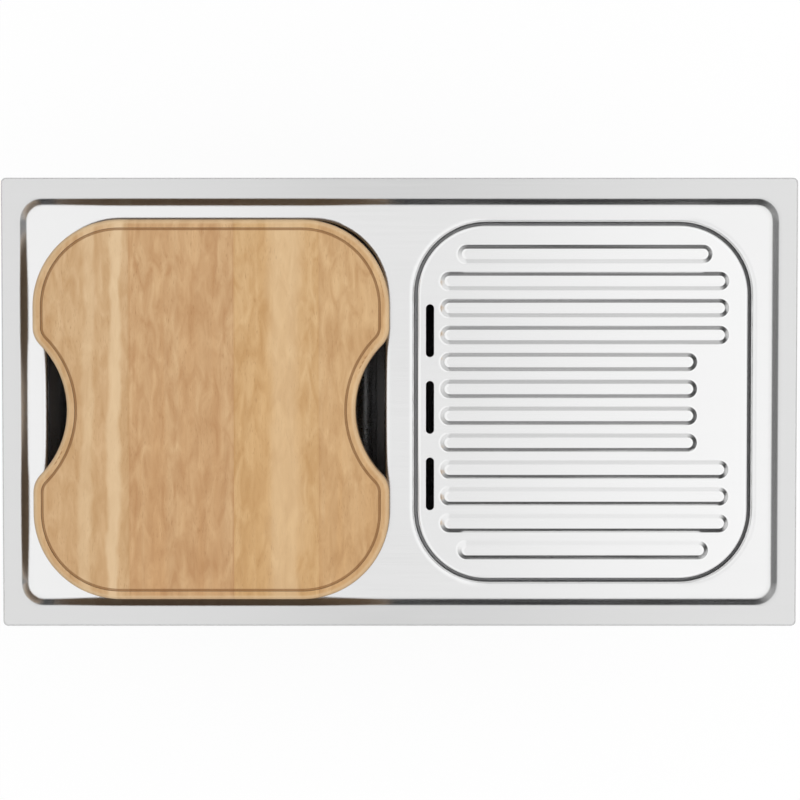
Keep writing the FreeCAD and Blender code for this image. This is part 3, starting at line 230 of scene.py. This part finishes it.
def satin_steel(name, tone, shade, roughness, rim=None, eased=0):
    """Stainless 18/10 sheet, rolled and finished with fine grit along the sink.

    The eye sees a soft grey mirror with hair lines along X. Given a rim, the step and the rim are
    painted a shade darker than the deck by height: painted shade on the same steel. Grit 240
    leaves lines under 0.1 mm apart; they are drawn 0.9 mm apart so that they show."""
    material, tree, shader = new_material(name, Metallic=1.0)
    lines = pattern(tree, (90 * MM, 0.9 * MM, 0.9 * MM), detail=3.0)
    clouds = pattern(tree, (160 * MM, 110 * MM, 60 * MM), detail=1.0)
    colour = add_node(tree, "ShaderNodeMix", {
        0: spread(tree, lines, 0.2, 0.8), 6: shade, 7: tone}, data_type="RGBA")
    # painted shade: the step and the rim are darkened by height, though they are the deck's own
    # steel
    if rim:
        foot, top, rim_shade = rim
        where = add_node(tree, "ShaderNodeTexCoord")
        place = add_node(tree, "ShaderNodeSeparateXYZ", {"Vector": where.outputs["Object"]})
        share = add_node(tree, "ShaderNodeMapRange", {
            "Value": place.outputs["Z"], "From Min": foot, "From Max": top})
        darker = add_node(tree, "ShaderNodeMix", {0: 1.0, 6: colour, 7: rim_shade},
                          data_type="RGBA", blend_type="MULTIPLY")
        colour = add_node(tree, "ShaderNodeMix", {
            0: share, 6: colour, 7: darker}, data_type="RGBA")
    uneven = add_node(tree, "ShaderNodeMath", {
        0: spread(tree, lines, -0.03, 0.03), 1: spread(tree, clouds, -0.02, 0.02)},
        operation="ADD")
    rough = add_node(tree, "ShaderNodeMath", {0: uneven, 1: roughness}, operation="ADD")
    surface(tree, shader, colour, rough)
    raised(tree, shader, lines, 0.01 * MM, eased)
    return material


def polished_steel():
    """Stainless steel, pressed and buffed bright: sharp reflections with faint buffing haze."""
    material, tree, shader = new_material("polished_stainless_steel", Metallic=1.0)
    haze = pattern(tree, (6 * MM, 6 * MM, 6 * MM), detail=4.0)
    colour = add_node(tree, "ShaderNodeMix", {
        0: spread(tree, haze, 0, 1), 6: "#CFCFD0", 7: "#E0E0E0"}, data_type="RGBA")
    surface(tree, shader, colour, spread(tree, haze, 0.10, 0.20))
    raised(tree, shader, haze, 0.01 * MM)
    return material


def zinc_plate():
    """Mild steel strip, bright zinc plated: bluish grey with a patchy, slightly dull skin."""
    material, tree, shader = new_material("zinc_plated_steel", Metallic=1.0)
    patches = pattern(tree, (5 * MM, 5 * MM, 5 * MM), detail=5.0)
    grains = pattern(tree, (0.8 * MM, 0.8 * MM, 0.8 * MM))
    colour = add_node(tree, "ShaderNodeMix", {
        0: spread(tree, patches, 0, 1), 6: "#A9AFB4", 7: "#CBD0D2"}, data_type="RGBA")
    colour = add_node(tree, "ShaderNodeMix", {
        0: spread(tree, grains, 0, 0.3), 6: colour, 7: "#D9D6C6"}, data_type="RGBA")
    surface(tree, shader, colour, spread(tree, patches, 0.28, 0.46))
    raised(tree, shader, grains, 0.02 * MM)
    return material


def moulded_plastic(name, tone, shade, roughness):
    """Injection moulded polypropylene: waxy, a little cloudy, with a fine spark-eroded skin.

    The skin's grain is 0.1 mm; it is drawn 0.7 mm across so that it shows."""
    material, tree, shader = new_material(name, IOR=1.49, Subsurface_Weight=0.05)
    clouds = pattern(tree, (25 * MM, 25 * MM, 40 * MM))
    skin = pattern(tree, (0.7 * MM, 0.7 * MM, 0.7 * MM))
    colour = add_node(tree, "ShaderNodeMix", {
        0: spread(tree, clouds, 0, 1), 6: shade, 7: tone}, data_type="RGBA")
    surface(tree, shader, colour, spread(tree, clouds, roughness - 0.05, roughness + 0.06))
    raised(tree, shader, skin, 0.03 * MM)
    return material


def moulded_rubber():
    """Moulded EPDM rubber: near black and dull, dusted with a little bloom."""
    material, tree, shader = new_material("moulded_epdm_rubber", IOR=1.52)
    bloom = pattern(tree, (3 * MM, 3 * MM, 3 * MM), detail=4.0)
    colour = add_node(tree, "ShaderNodeMix", {
        0: spread(tree, bloom, 0, 1), 6: "#161617", 7: "#2A2A2B"}, data_type="RGBA")
    surface(tree, shader, colour, spread(tree, bloom, 0.5, 0.7))
    raised(tree, shader, bloom, 0.03 * MM)
    return material


def foam_strip():
    """Closed-cell polyethylene foam tape: dark grey, soft and pitted by cells 0.5 mm across,
    drawn 1 mm across so that they show."""
    material, tree, shader = new_material("closed_cell_foam", IOR=1.45, Roughness=0.95)
    where = add_node(tree, "ShaderNodeTexCoord")
    cells = add_node(tree, "ShaderNodeTexVoronoi", {
        "Vector": where.outputs["Object"], "Scale": 1 / (1.0 * MM)})
    colour = add_node(tree, "ShaderNodeMix", {
        0: cells, 6: "#232427", 7: "#45474A"}, data_type="RGBA")
    tree.links.new(first_output(colour), shader.inputs["Base Color"])
    raised(tree, shader, cells.outputs["Distance"], 0.15 * MM)
    return material


def bitumen():
    """Bitumen sound-deadening sheet: black, filled with chalk and mica, matt and grainy."""
    material, tree, shader = new_material("filled_bitumen_sheet", IOR=1.6)
    grains = pattern(tree, (1.1 * MM, 1.1 * MM, 1.1 * MM), detail=4.0)
    dust = pattern(tree, (30 * MM, 30 * MM, 30 * MM))
    colour = add_node(tree, "ShaderNodeMix", {
        0: spread(tree, grains, 0, 1), 6: "#141518", 7: "#303136"}, data_type="RGBA")
    colour = add_node(tree, "ShaderNodeMix", {
        0: spread(tree, dust, 0, 0.25), 6: colour, 7: "#5A5A5C"}, data_type="RGBA")
    surface(tree, shader, colour, spread(tree, grains, 0.6, 0.85))
    raised(tree, shader, grains, 0.12 * MM)
    return material


def line_along(tree, value, middle, half_width, strength):
    """Share of a line: its strength where a value is near the middle, fading to nothing."""
    off = add_node(tree, "ShaderNodeMath", {0: value, 1: middle}, operation="SUBTRACT")
    distance = add_node(tree, "ShaderNodeMath", {0: off}, operation="ABSOLUTE")
    return add_node(tree, "ShaderNodeMapRange", {
        "Value": distance, "From Min": half_width, "From Max": (1 + LINE_FADE) * half_width,
        "To Min": strength, "To Max": 0.0}, interpolation_type="SMOOTHSTEP")


def hardwood(node, tones, seams, streaks):
    """Rubberwood stave, sanded and oiled: honey tan with blotches along a straight grain,
    short soft pores in clusters, a faint glue line at each seam, and painted shade on its sides.

    Pores are 0.2 mm wide; they are drawn 0.7 mm wide so that they show."""
    front, back, dark = tones
    low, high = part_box(node)
    shift = (low.x * GRAIN_SHIFT[0], high.x * GRAIN_SHIFT[1], GRAIN_SHIFT[2])
    material, tree, shader = new_material("oiled_hardwood_" + node, IOR=1.5,
                                          Specular_IOR_Level=0.3)
    where = add_node(tree, "ShaderNodeTexCoord")
    place = add_node(tree, "ShaderNodeSeparateXYZ", {"Vector": where.outputs["Object"]})
    bands = pattern(tree, (13 * MM, 300 * MM, 40 * MM), 2.0, shift, 0.8)
    mottle = pattern(tree, (10 * MM, 34 * MM, 20 * MM), 3.0, shift, 0.8)
    fibre = pattern(tree, (1.6 * MM, 55 * MM, 1.6 * MM), 3.0, shift)
    pores = pattern(tree, (0.7 * MM, 6 * MM, 0.7 * MM), 1.0, shift)
    clusters = pattern(tree, (16 * MM, 60 * MM, 20 * MM), 2.0, shift, 0.5)
    along = add_node(tree, "ShaderNodeMapRange", {
        "Value": place.outputs["Y"], "From Min": low.y, "From Max": high.y})
    colour = add_node(tree, "ShaderNodeMix", {0: along, 6: front, 7: back}, data_type="RGBA")
    colour = add_node(tree, "ShaderNodeMix", {
        0: spread(tree, bands, 0.0, BAND_SHARE), 6: colour, 7: OILED_PALE}, data_type="RGBA")
    colour = add_node(tree, "ShaderNodeMix", {
        0: spread(tree, mottle, BLOTCH_SHARE, 0.0), 6: colour, 7: dark}, data_type="RGBA")
    colour = add_node(tree, "ShaderNodeMix", {
        0: spread(tree, fibre, FIBRE_SHARE, 0.0), 6: colour, 7: dark}, data_type="RGBA")
    deep = add_node(tree, "ShaderNodeValToRGB", {"Fac": pores},
                    stops=((0.60, 0.0), (0.74, PORE_SHARE)))
    share = add_node(tree, "ShaderNodeMath", {0: deep, 1: spread(tree, clusters, 0.0, 1.0)},
                     operation="MULTIPLY")
    colour = add_node(tree, "ShaderNodeMix", {
        0: share, 6: colour, 7: PORE_BROWN}, data_type="RGBA")
    colour = sap_streaks(tree, colour, place, shift, streaks)
    for x, strength in seams:
        line = line_along(tree, place.outputs["X"], x, SEAM_HALF_W, strength)
        share = add_node(tree, "ShaderNodeMath", {0: line, 1: spread(tree, mottle, 1.0, 0.3)},
                         operation="MULTIPLY")
        colour = add_node(tree, "ShaderNodeMix", {0: share, 6: colour, 7: dark}, data_type="RGBA")
    surface(tree, shader, shaded_worked_faces(tree, colour, place.outputs["Z"], high.z),
            spread(tree, fibre, 0.44, 0.56))
    raised(tree, shader, fibre, 0.04 * MM)
    return material


def sap_streaks(tree, colour, place, shift, streaks):
    """Pale sapwood streaks that wander as they run along the grain."""
    wobble = spread(tree, pattern(tree, (30 * MM, 45 * MM, 30 * MM), 2.0, shift),
                    -STREAK_WOBBLE, STREAK_WOBBLE)
    for x, lean, half_width, strength in streaks:
        slid = add_node(tree, "ShaderNodeMath", {
            0: place.outputs["Y"], 1: -lean, 2: place.outputs["X"]}, operation="MULTIPLY_ADD")
        bent = add_node(tree, "ShaderNodeMath", {0: slid, 1: wobble}, operation="ADD")
        line = line_along(tree, bent, x, half_width, strength)
        colour = add_node(tree, "ShaderNodeMix", {
            0: line, 6: colour, 7: SAPWOOD_AND_SHEEN}, data_type="RGBA")
    return colour


def shaded_worked_faces(tree, colour, height, top):
    """Colour with a brown groove that is painted shade and some oil, a painted sheen on the eased
    edge, partly paler sanded wood, and painted shade on the sides.
    """
    faces = add_node(tree, "ShaderNodeNewGeometry")
    normal = add_node(tree, "ShaderNodeSeparateXYZ", {"Vector": faces.outputs["True Normal"]})
    tilt = add_node(tree, "ShaderNodeMath", {0: normal.outputs["Z"]}, operation="ABSOLUTE")
    level = add_node(tree, "ShaderNodeMath", {0: tilt, 1: 0.99}, operation="GREATER_THAN")
    upright = add_node(tree, "ShaderNodeMath", {0: tilt, 1: 0.2}, operation="LESS_THAN")
    square = add_node(tree, "ShaderNodeMath", {0: level, 1: upright}, operation="ADD")
    # painted shade in the groove's floor and walls, with some oil that it gathers
    under = add_node(tree, "ShaderNodeMath", {0: height, 1: top - 0.1 * MM},
                     operation="LESS_THAN")
    over = add_node(tree, "ShaderNodeMath", {0: height, 1: top - GROOVE_REACH},
                    operation="GREATER_THAN")
    inside = add_node(tree, "ShaderNodeMath", {0: under, 1: over}, operation="MULTIPLY")
    groove_shade_mask = add_node(tree, "ShaderNodeMath", {0: inside, 1: square}, operation="MULTIPLY")
    share = add_node(tree, "ShaderNodeMath", {0: groove_shade_mask, 1: GROOVE_SHADE_SHARE},
                     operation="MULTIPLY")
    colour = add_node(tree, "ShaderNodeMix", {
        0: share, 6: colour, 7: GROOVE_SHADE_BROWN}, data_type="RGBA")
    # painted sheen on the eased edge, partly the paler wood that sanding opens
    eased = add_node(tree, "ShaderNodeValToRGB", {"Fac": normal.outputs["Z"]}, stops=(
        (0.3, 0.0), (0.6, EASED_SHEEN_SHARE), (0.9, EASED_SHEEN_SHARE), (0.99, 0.0)))
    colour = add_node(tree, "ShaderNodeMix", {0: eased, 6: colour, 7: SAPWOOD_AND_SHEEN}, data_type="RGBA")
    # painted shade on the board's upright sides
    side = add_node(tree, "ShaderNodeMapRange", {
        "Value": tilt, "From Min": 0.1, "From Max": 0.5, "To Min": SIDE_SHADE_SHARE, "To Max": 0.0})
    return add_node(tree, "ShaderNodeMix", {0: side, 6: colour, 7: SIDE_SHADE}, data_type="RGBA")


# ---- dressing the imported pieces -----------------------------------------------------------
def dress(node, material):
    for slot in frame["nodes"][node].material_slots:
        slot.material = material


RIM_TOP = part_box("sink_deck")[1].z
# the rim's darker tone is painted shade on the same steel as the deck
DECK_STEEL = satin_steel("satin_stainless_deck", "#EFEFEF", "#EAEAEA", 0.16,
                         rim=(RIM_TOP - RIM_STEP, RIM_TOP - RIM_SHEET, "#EBEBEB"),
                         eased=DECK_EASE)
TRAY_STEEL = satin_steel("satin_stainless_tray", "#F2F2F2", "#EEEEEE", 0.13, eased=TRAY_EASE)
# the bowls' steel is painted darker than the deck's: painted shade for the dim inside of a bowl
BOWL_STEEL_PAINTED_SHADE = satin_steel("satin_stainless_bowl_painted_shade", "#CACACB", "#C0C0C1", 0.3)
POLISHED = polished_steel()
ZINC = zinc_plate()
WHITE_PLASTIC = moulded_plastic("white_polypropylene", "#E9E9E4", "#DEDED8", 0.38)
HOSE_PLASTIC = moulded_plastic("ribbed_hose_polypropylene", "#E2E2DC", "#D2D2CC", 0.45)
RUBBER = moulded_rubber()
FOAM = foam_strip()
BITUMEN = bitumen()


def dress_all():
    dress("sink_deck", DECK_STEEL)
    dress("drainer_tray", TRAY_STEEL)
    for node in ("clip_brackets", "clip_hooks", "clip_screws"):
        dress(node, ZINC)
    dress("drain_tee", WHITE_PLASTIC)
    for side in SIDES:
        dress(side + "_bowl", BOWL_STEEL_PAINTED_SHADE)
        for part in ("strainer_dish", "strainer_screw", "basket", "basket_post",
                     "overflow_rosette", "overflow_screw"):
            dress(side + "_" + part, POLISHED)
        for part in ("flange_gasket", "body_gasket", "basket_seal", "overflow_gasket",
                     "waste_seal", "tee_seal"):
            dress(side + "_" + part, RUBBER)
        for part in ("waste_body", "waste_nut", "waste_bend", "tee_nut", "overflow_elbow"):
            dress(side + "_" + part, WHITE_PLASTIC)


def dress_board():
    """Four staves of one wood, each from another plank. Tones are front, back and dark; a
    streak has a place, a lean, half a width and a strength."""
    tones = (("#D0A97C", "#D6B48B", "#BC9262"), ("#CEA272", "#D5AE80", "#B68759"),
             ("#D3A871", "#DAB584", "#BD905B"), ("#D2A774", "#D8B282", "#B98D5D"))
    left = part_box(STAVES[0])[0].x
    streaks = (((left + 54 * MM, 0.02, 2.5 * MM, 0.35), (left + 80 * MM, 0.02, 2.5 * MM, 0.6)),
               (), ((left + 246 * MM, 0.0, 7 * MM, 0.35), ), ())
    for i, node in enumerate(STAVES):
        low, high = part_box(node)
        seams = [(x, strength) for x, strength in zip((low.x, high.x), SEAM_SHARES[i:i + 2])
                 if strength > 0]
        dress(node, hardwood(node, tones[i], seams, streaks[i]))


# ---- modelling ----------------------------------------------------------------------------
def edit(piece, kind="FACE"):
    """Edit mode on one piece, with nothing selected."""
    bpy.ops.object.select_all(action="DESELECT")
    piece.select_set(True)
    bpy.context.view_layer.objects.active = piece
    bpy.ops.object.mode_set(mode="EDIT")
    bpy.ops.mesh.select_mode(type=kind)
    bpy.ops.mesh.select_all(action="DESELECT")


def pick(piece, parts, test):
    """Selects the verts, edges or faces that pass a test, in edit mode."""
    mesh = bmesh.from_edit_mesh(piece.data)
    for part in getattr(mesh, parts):
        if test(part):
            part.select_set(True)
    bmesh.update_edit_mesh(piece.data)


def leave():
    bpy.ops.object.mode_set(mode="OBJECT")


def place_in_mesh():
    bpy.ops.object.transform_apply(location=True, rotation=True, scale=True)


def modify(piece, kind, **settings):
    """Adds one modifier and applies it."""
    bpy.context.view_layer.objects.active = piece
    modifier = piece.modifiers.new(kind, kind)
    for name, value in settings.items():
        setattr(modifier, name, value)
    bpy.ops.object.modifier_apply(modifier=modifier.name)


def shifted(piece, matrix):
    """Copy with its own mesh, placed by a matrix."""
    made = piece.copy()
    made.data = piece.data.copy()
    made.data.transform(matrix)
    bpy.context.scene.collection.objects.link(made)
    return made


def joined(pieces):
    """One piece from several."""
    bpy.ops.object.select_all(action="DESELECT")
    for piece in pieces:
        piece.select_set(True)
    bpy.context.view_layer.objects.active = pieces[0]
    bpy.ops.object.join()
    return bpy.context.object


def settle(piece, name, material, replaced=(), sharp=35):
    """Finishes a piece that belongs to the sink itself: name, shading, finish and body."""
    bpy.ops.object.select_all(action="DESELECT")
    piece.select_set(True)
    bpy.context.view_layer.objects.active = piece
    place_in_mesh()
    bpy.ops.object.shade_smooth_by_angle(angle=math.radians(sharp))
    piece.name = name
    piece.data.name = name
    piece.data.materials.clear()
    piece.data.materials.append(material)
    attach(piece, "sink")
    if replaced:
        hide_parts(*replaced)


def is_upright(edge):
    return abs(edge.verts[0].co.z - edge.verts[1].co.z) > 0.9 * edge.calc_length()


def foam_seal():
    """Strip of foam tape stuck under the rim, its edges a little rounded by the squeeze."""
    low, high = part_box("rim_seal")
    size = high - low
    bpy.ops.mesh.primitive_plane_add(size=1, location=(0, 0, low.z))
    strip = bpy.context.object
    strip.scale = (size.x, size.y, 1)
    place_in_mesh()
    edit(strip)
    bpy.ops.mesh.select_all(action="SELECT")
    bpy.ops.mesh.inset(thickness=FOAM_W)
    bpy.ops.mesh.delete(type="FACE")
    bpy.ops.mesh.select_all(action="SELECT")
    bpy.ops.mesh.extrude_region_move(TRANSFORM_OT_translate={"value": (0, 0, size.z)})
    bpy.ops.mesh.select_all(action="SELECT")
    bpy.ops.mesh.normals_make_consistent(inside=False)
    bpy.ops.mesh.select_all(action="DESELECT")
    bpy.ops.mesh.select_mode(type="EDGE")
    pick(strip, "edges", lambda e: is_upright(e) and abs(e.verts[0].co.x) > high.x - MM)
    bpy.ops.mesh.bevel(offset=FOAM_CORNER_R, segments=5, affect="EDGES")
    leave()
    modify(strip, "BEVEL", width=FOAM_ROUND, segments=3, angle_limit=math.radians(60))
    settle(strip, "foam_rim_seal", FOAM, ["rim_seal"])


def sound_pad(width, height):
    """Pad that lies on the XY plane, with a grid of squares pressed in its face."""
    bpy.ops.mesh.primitive_grid_add(x_subdivisions=round(width / PAD_CELL),
                                    y_subdivisions=round(height / PAD_CELL), size=1)
    pad = bpy.context.object
    pad.scale = (width, height, 1)
    place_in_mesh()
    edit(pad, "VERT")
    pick(pad, "verts", lambda v: len(v.link_faces) == 1)
    bpy.ops.mesh.bevel(offset=PAD_ROUND, segments=PAD_CORNER_STEPS, affect="VERTICES")
    bpy.ops.mesh.select_mode(type="FACE")
    bpy.ops.mesh.select_all(action="SELECT")
    bpy.ops.mesh.inset(thickness=PAD_CELL_GAP / 2, use_individual=True)
    bpy.ops.mesh.inset(thickness=PAD_CELL_RISE, depth=PAD_CELL_RISE, use_individual=True)
    leave()
    pad.location.z = PAD_T - PAD_CELL_RISE
    place_in_mesh()
    modify(pad, "SOLIDIFY", thickness=PAD_T - PAD_CELL_RISE, offset=-1)
    modify(pad, "BEVEL", width=PAD_EDGE, segments=2, angle_limit=math.radians(60))
    return pad


def sound_pads(side):
    """Three pads on one bowl: front wall and both side walls."""
    low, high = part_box(side + "_sound_pads")
    middle = Vector(((low.x + high.x) / 2, 0, (low.z + high.z) / 2))
    pad = sound_pad(2 * high.y, high.z - low.z)
    stand = Matrix.Rotation(math.radians(90), 4, "X")
    made = []
    for turn, place in ((0, (0, low.y + PAD_T, 0)),
                        (90, (high.x - middle.x - PAD_T, 0, 0)),
                        (-90, (low.x - middle.x + PAD_T, 0, 0))):
        spun = Matrix.Rotation(math.radians(turn), 4, "Z")
        made.append(shifted(pad, Matrix.Translation(middle + Vector(place)) @ spun @ stand))
    bpy.data.objects.remove(pad)
    settle(joined(made), side + "_embossed_sound_pads", BITUMEN,
           [side + "_sound_pads"])


def rib_unit(pitch, crest_r):
    """One rib of the hose, standing on the XY plane."""
    middle_r = (HOSE_VALLEY_R + crest_r) / 2
    soft = HOSE_SOFT * (crest_r - HOSE_VALLEY_R)
    rings = ((0.13, HOSE_VALLEY_R + soft), (0.20, HOSE_VALLEY_R), (0.34, HOSE_VALLEY_R),
             (0.41, HOSE_VALLEY_R + soft), (0.58, crest_r - soft), (0.66, crest_r),
             (0.88, crest_r), (0.95, crest_r - soft), (1.0, middle_r))
    bpy.ops.mesh.primitive_circle_add(vertices=HOSE_SIDES, radius=middle_r)
    unit = bpy.context.object
    edit(unit, "EDGE")
    bpy.ops.mesh.select_all(action="SELECT")
    height = 0.0
    radius = middle_r
    for share, ring_r in rings:
        bpy.ops.mesh.extrude_region_move(
            TRANSFORM_OT_translate={"value": (0, 0, share * pitch - height)})
        grow = ring_r / radius
        bpy.ops.transform.resize(value=(grow, grow, 1))
        height = share * pitch
        radius = ring_r
    leave()
    return unit


def bent_line(start, bend_r, low_z, end_y):
    """Curve that runs down from start, round a quarter turn and along -Y to end_y."""
    handle = QUARTER_TURN * bend_r
    top = Vector((start.x, start.y, low_z + bend_r))
    foot = Vector((start.x, start.y - bend_r, low_z))
    end = Vector((start.x, end_y, low_z))
    bpy.ops.curve.primitive_bezier_curve_add()
    curve = bpy.context.object
    spline = curve.data.splines[0]
    spline.bezier_points.add(2)
    up = Vector((0, 0, 1))
    back = Vector((0, 1, 0))
    third = (start - top).length / 3
    rest = (foot - end).length / 3
    for point, place, before, after in zip(
            spline.bezier_points, (start, top, foot, end),
            (start + up * third, top + up * third, foot + back * handle, end + back * rest),
            (start - up * third, top - up * handle, foot - back * rest, end - back * rest)):
        point.handle_left_type = "FREE"
        point.handle_right_type = "FREE"
        point.co = place
        point.handle_left = before
        point.handle_right = after
    curve.data.resolution_u = 32
    return curve


def overflow_hose(side):
    """Ribbed hose from the elbow's spigot down and round to the waste's inlet, with cuffs."""
    low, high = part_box(side + "_overflow_hose")
    crest_r = (high.x - low.x) / 2
    start = Vector(((low.x + high.x) / 2, high.y - crest_r, high.z))
    axis_z = low.z + crest_r
    length = (start.z - axis_z - HOSE_BEND_R + HOSE_BEND_R * math.pi / 2
              + start.y - HOSE_BEND_R - low.y)
    ribbed = length - 2 * HOSE_CUFF
    count = round(ribbed / HOSE_PITCH)
    hose = rib_unit(ribbed / count, crest_r)
    modify(hose, "ARRAY", count=count, use_relative_offset=False, use_constant_offset=True,
           constant_offset_displace=(0, 0, ribbed / count), use_merge_vertices=True,
           merge_threshold=MERGE)
    for level, reach in ((0.0, -HOSE_CUFF), (ribbed, HOSE_CUFF)):
        edit(hose, "EDGE")
        pick(hose, "edges", lambda e: e.is_boundary
             and all(abs(v.co.z - level) < 0.1 * MM for v in e.verts))
        bpy.ops.mesh.extrude_region_move(TRANSFORM_OT_translate={"value": (0, 0, 0)})
        grow = HOSE_CUFF_R / ((HOSE_VALLEY_R + crest_r) / 2)
        bpy.ops.transform.resize(value=(grow, grow, 1))
        for _ in range(HOSE_CUFF_STEPS):
            bpy.ops.mesh.extrude_region_move(
                TRANSFORM_OT_translate={"value": (0, 0, reach / HOSE_CUFF_STEPS)})
        leave()
    hose.location.z = HOSE_CUFF
    place_in_mesh()
    modify(hose, "SOLIDIFY", thickness=HOSE_WALL, offset=-1)
    curve = bent_line(start, HOSE_BEND_R, axis_z, low.y)
    hose.location = (0, 0, 0)
    modify(hose, "CURVE", object=curve, deform_axis="POS_Z")
    bpy.data.objects.remove(curve)
    settle(hose, side + "_ribbed_overflow_hose", HOSE_PLASTIC,
           [side + "_overflow_hose"])


def weld_bead(side):
    """Bead that joins a bowl to the deck's rolled mouth, rippled by the welder's steps."""
    low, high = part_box(side + "_bowl")
    size = high - low
    bpy.ops.mesh.primitive_plane_add(size=1, location=((low.x + high.x) / 2, 0, high.z))
    bead = bpy.context.object
    bead.scale = (size.x, size.y, 1)
    place_in_mesh()
    edit(bead, "VERT")
    bpy.ops.mesh.select_all(action="SELECT")
    bpy.ops.mesh.bevel(offset=MOUTH_CORNER_R, segments=32, affect="VERTICES")
    bpy.ops.mesh.select_all(action="SELECT")
    bpy.ops.mesh.delete(type="ONLY_FACE")
    bpy.ops.mesh.select_mode(type="EDGE")
    pick(bead, "edges", lambda e: e.calc_length() > 20 * MM)
    bpy.ops.mesh.subdivide(number_cuts=BEAD_STEPS)
    leave()
    bpy.ops.object.convert(target="CURVE")
    for spline in bead.data.splines:
        for i, point in enumerate(spline.points):
            point.radius = 1.0 if i % 2 else 0.8
    bead.data.bevel_depth = BEAD_R
    bead.data.bevel_resolution = 2
    bpy.ops.object.convert(target="MESH")
    settle(bpy.context.object, side + "_mouth_weld", BOWL_STEEL_PAINTED_SHADE, sharp=60)


# ---- surroundings -------------------------------------------------------------------------
def background_rays(tree):
    """1 for rays that show the background itself: seen, mirrored or through glass."""
    path = add_node(tree, "ShaderNodeLightPath")
    seen = add_node(tree, "ShaderNodeMath", {
        0: path.outputs["Is Camera Ray"], 1: path.outputs["Is Glossy Ray"]},
        operation="MAXIMUM")
    return add_node(tree, "ShaderNodeMath", {
        0: seen, 1: path.outputs["Is Transmission Ray"]}, operation="MAXIMUM")


def studio_round(tree):
    """Colour of the studio by direction: a white ceiling of soft panels, a little dimmer over
    the middle, and dark walls. In the steel the walls draw the steps, ribs and rolled edges.
    Matt surfaces get the same light as a soft sky, brightest overhead."""
    where = add_node(tree, "ShaderNodeTexCoord")
    aim = add_node(tree, "ShaderNodeSeparateXYZ", {"Vector": where.outputs["Generated"]})
    across = add_node(tree, "ShaderNodeMapRange", {
        "Value": aim.outputs["X"], "From Min": -PANEL_REACH, "From Max": PANEL_REACH})
    panels = add_node(tree, "ShaderNodeValToRGB", {"Fac": across}, stops=PANEL_TONES)
    height = add_node(tree, "ShaderNodeMapRange", {
        "Value": aim.outputs["Z"], "From Min": WALL_TOP, "From Max": CEILING_FOOT,
        "To Min": WALL_LEVEL, "To Max": CEILING_LEVEL}, interpolation_type="SMOOTHSTEP")
    seen = add_node(tree, "ShaderNodeMix", {0: 1.0, 6: panels, 7: height},
                    data_type="RGBA", blend_type="MULTIPLY")
    sky = add_node(tree, "ShaderNodeMapRange", {
        "Value": aim.outputs["Z"], "From Min": SKY_FOOT, "From Max": 1.0,
        "To Min": SKY_LOW, "To Max": SKY_TOP}, interpolation_type="SMOOTHSTEP")
    path = add_node(tree, "ShaderNodeLightPath")
    return add_node(tree, "ShaderNodeMix", {
        0: path.outputs["Is Glossy Ray"], 6: sky, 7: seen}, data_type="RGBA")


def world():
    """White behind everything, lit by a studio with a white ceiling."""
    made = bpy.data.worlds.new("studio")
    bpy.context.scene.world = made
    made.use_nodes = True
    tree = made.node_tree
    tree.nodes.clear()
    path = add_node(tree, "ShaderNodeLightPath")
    behind = add_node(tree, "ShaderNodeMath", {
        0: path.outputs["Is Camera Ray"], 1: path.outputs["Is Transmission Ray"]},
        operation="MAXIMUM")
    colour = add_node(tree, "ShaderNodeMix", {
        0: behind, 6: studio_round(tree), 7: "#FFFFFF"}, data_type="RGBA")
    light = add_node(tree, "ShaderNodeBackground", {"Color": colour, "Strength": 1.0})
    output = add_node(tree, "ShaderNodeOutputWorld")
    tree.links.new(light.outputs["Background"], output.inputs["Surface"])


def studio_floor():
    bpy.ops.mesh.primitive_plane_add(size=FLOOR_SIZE, location=(0, 0, FLOOR_Z))
    floor = bpy.context.object
    floor.name = "studio_floor"
    material = bpy.data.materials.new("white_studio_floor")
    material.use_nodes = True
    tree = material.node_tree
    tree.nodes.clear()
    matt = add_node(tree, "ShaderNodeBsdfDiffuse", {"Color": "#FFFFFF"})
    glow = add_node(tree, "ShaderNodeEmission", {"Color": "#FFFFFF", "Strength": 1.0})
    share = add_node(tree, "ShaderNodeMath", {0: background_rays(tree), 1: FLOOR_WHITE},
                     operation="MULTIPLY")
    both = add_node(tree, "ShaderNodeMixShader", {0: share, 1: matt, 2: glow})
    output = add_node(tree, "ShaderNodeOutputMaterial")
    tree.links.new(both.outputs[0], output.inputs["Surface"])
    floor.data.materials.append(material)


def lamp(name, place, aim, size, watts):
    """Soft box, which the steel doesn't mirror."""
    data = bpy.data.lights.new(name, "AREA")
    data.shape = "RECTANGLE"
    data.size, data.size_y = size
    data.energy = watts
    made = bpy.data.objects.new(name, data)
    bpy.context.scene.collection.objects.link(made)
    made.visible_glossy = False
    made.location = place
    made.rotation_euler = (Vector(aim) - Vector(place)).to_track_quat("-Z", "Y").to_euler()


def camera():
    """Almost straight above, 1.6 m over the deck and tipped 1.4 degrees from behind."""
    height = 1.6
    tilt = math.radians(1.4)
    view = math.radians(27.6)
    aim = Vector((0.5 * MM, 2.4 * MM, 0))
    data = bpy.data.cameras.new("camera")
    data.sensor_width = 36
    data.lens = data.sensor_width / 2 / math.tan(view / 2)
    made = bpy.data.objects.new("camera", data)
    bpy.context.scene.collection.objects.link(made)
    made.location = aim + Vector((0, height * math.sin(tilt), height * math.cos(tilt)))
    made.rotation_euler = (-tilt, 0, 0)
    bpy.context.scene.camera = made


bpy.ops.object.select_all(action="DESELECT")
dress_all()
dress_board()
foam_seal()
for bowl_side in SIDES:
    sound_pads(bowl_side)
    overflow_hose(bowl_side)
    weld_bead(bowl_side)
world()
studio_floor()
lamp("right_softbox", (1.7, 0, 2.4), (0.2, 0, 0), (2.2, 2.6), 20)
camera()
bpy.context.scene.view_settings.view_transform = "Standard"
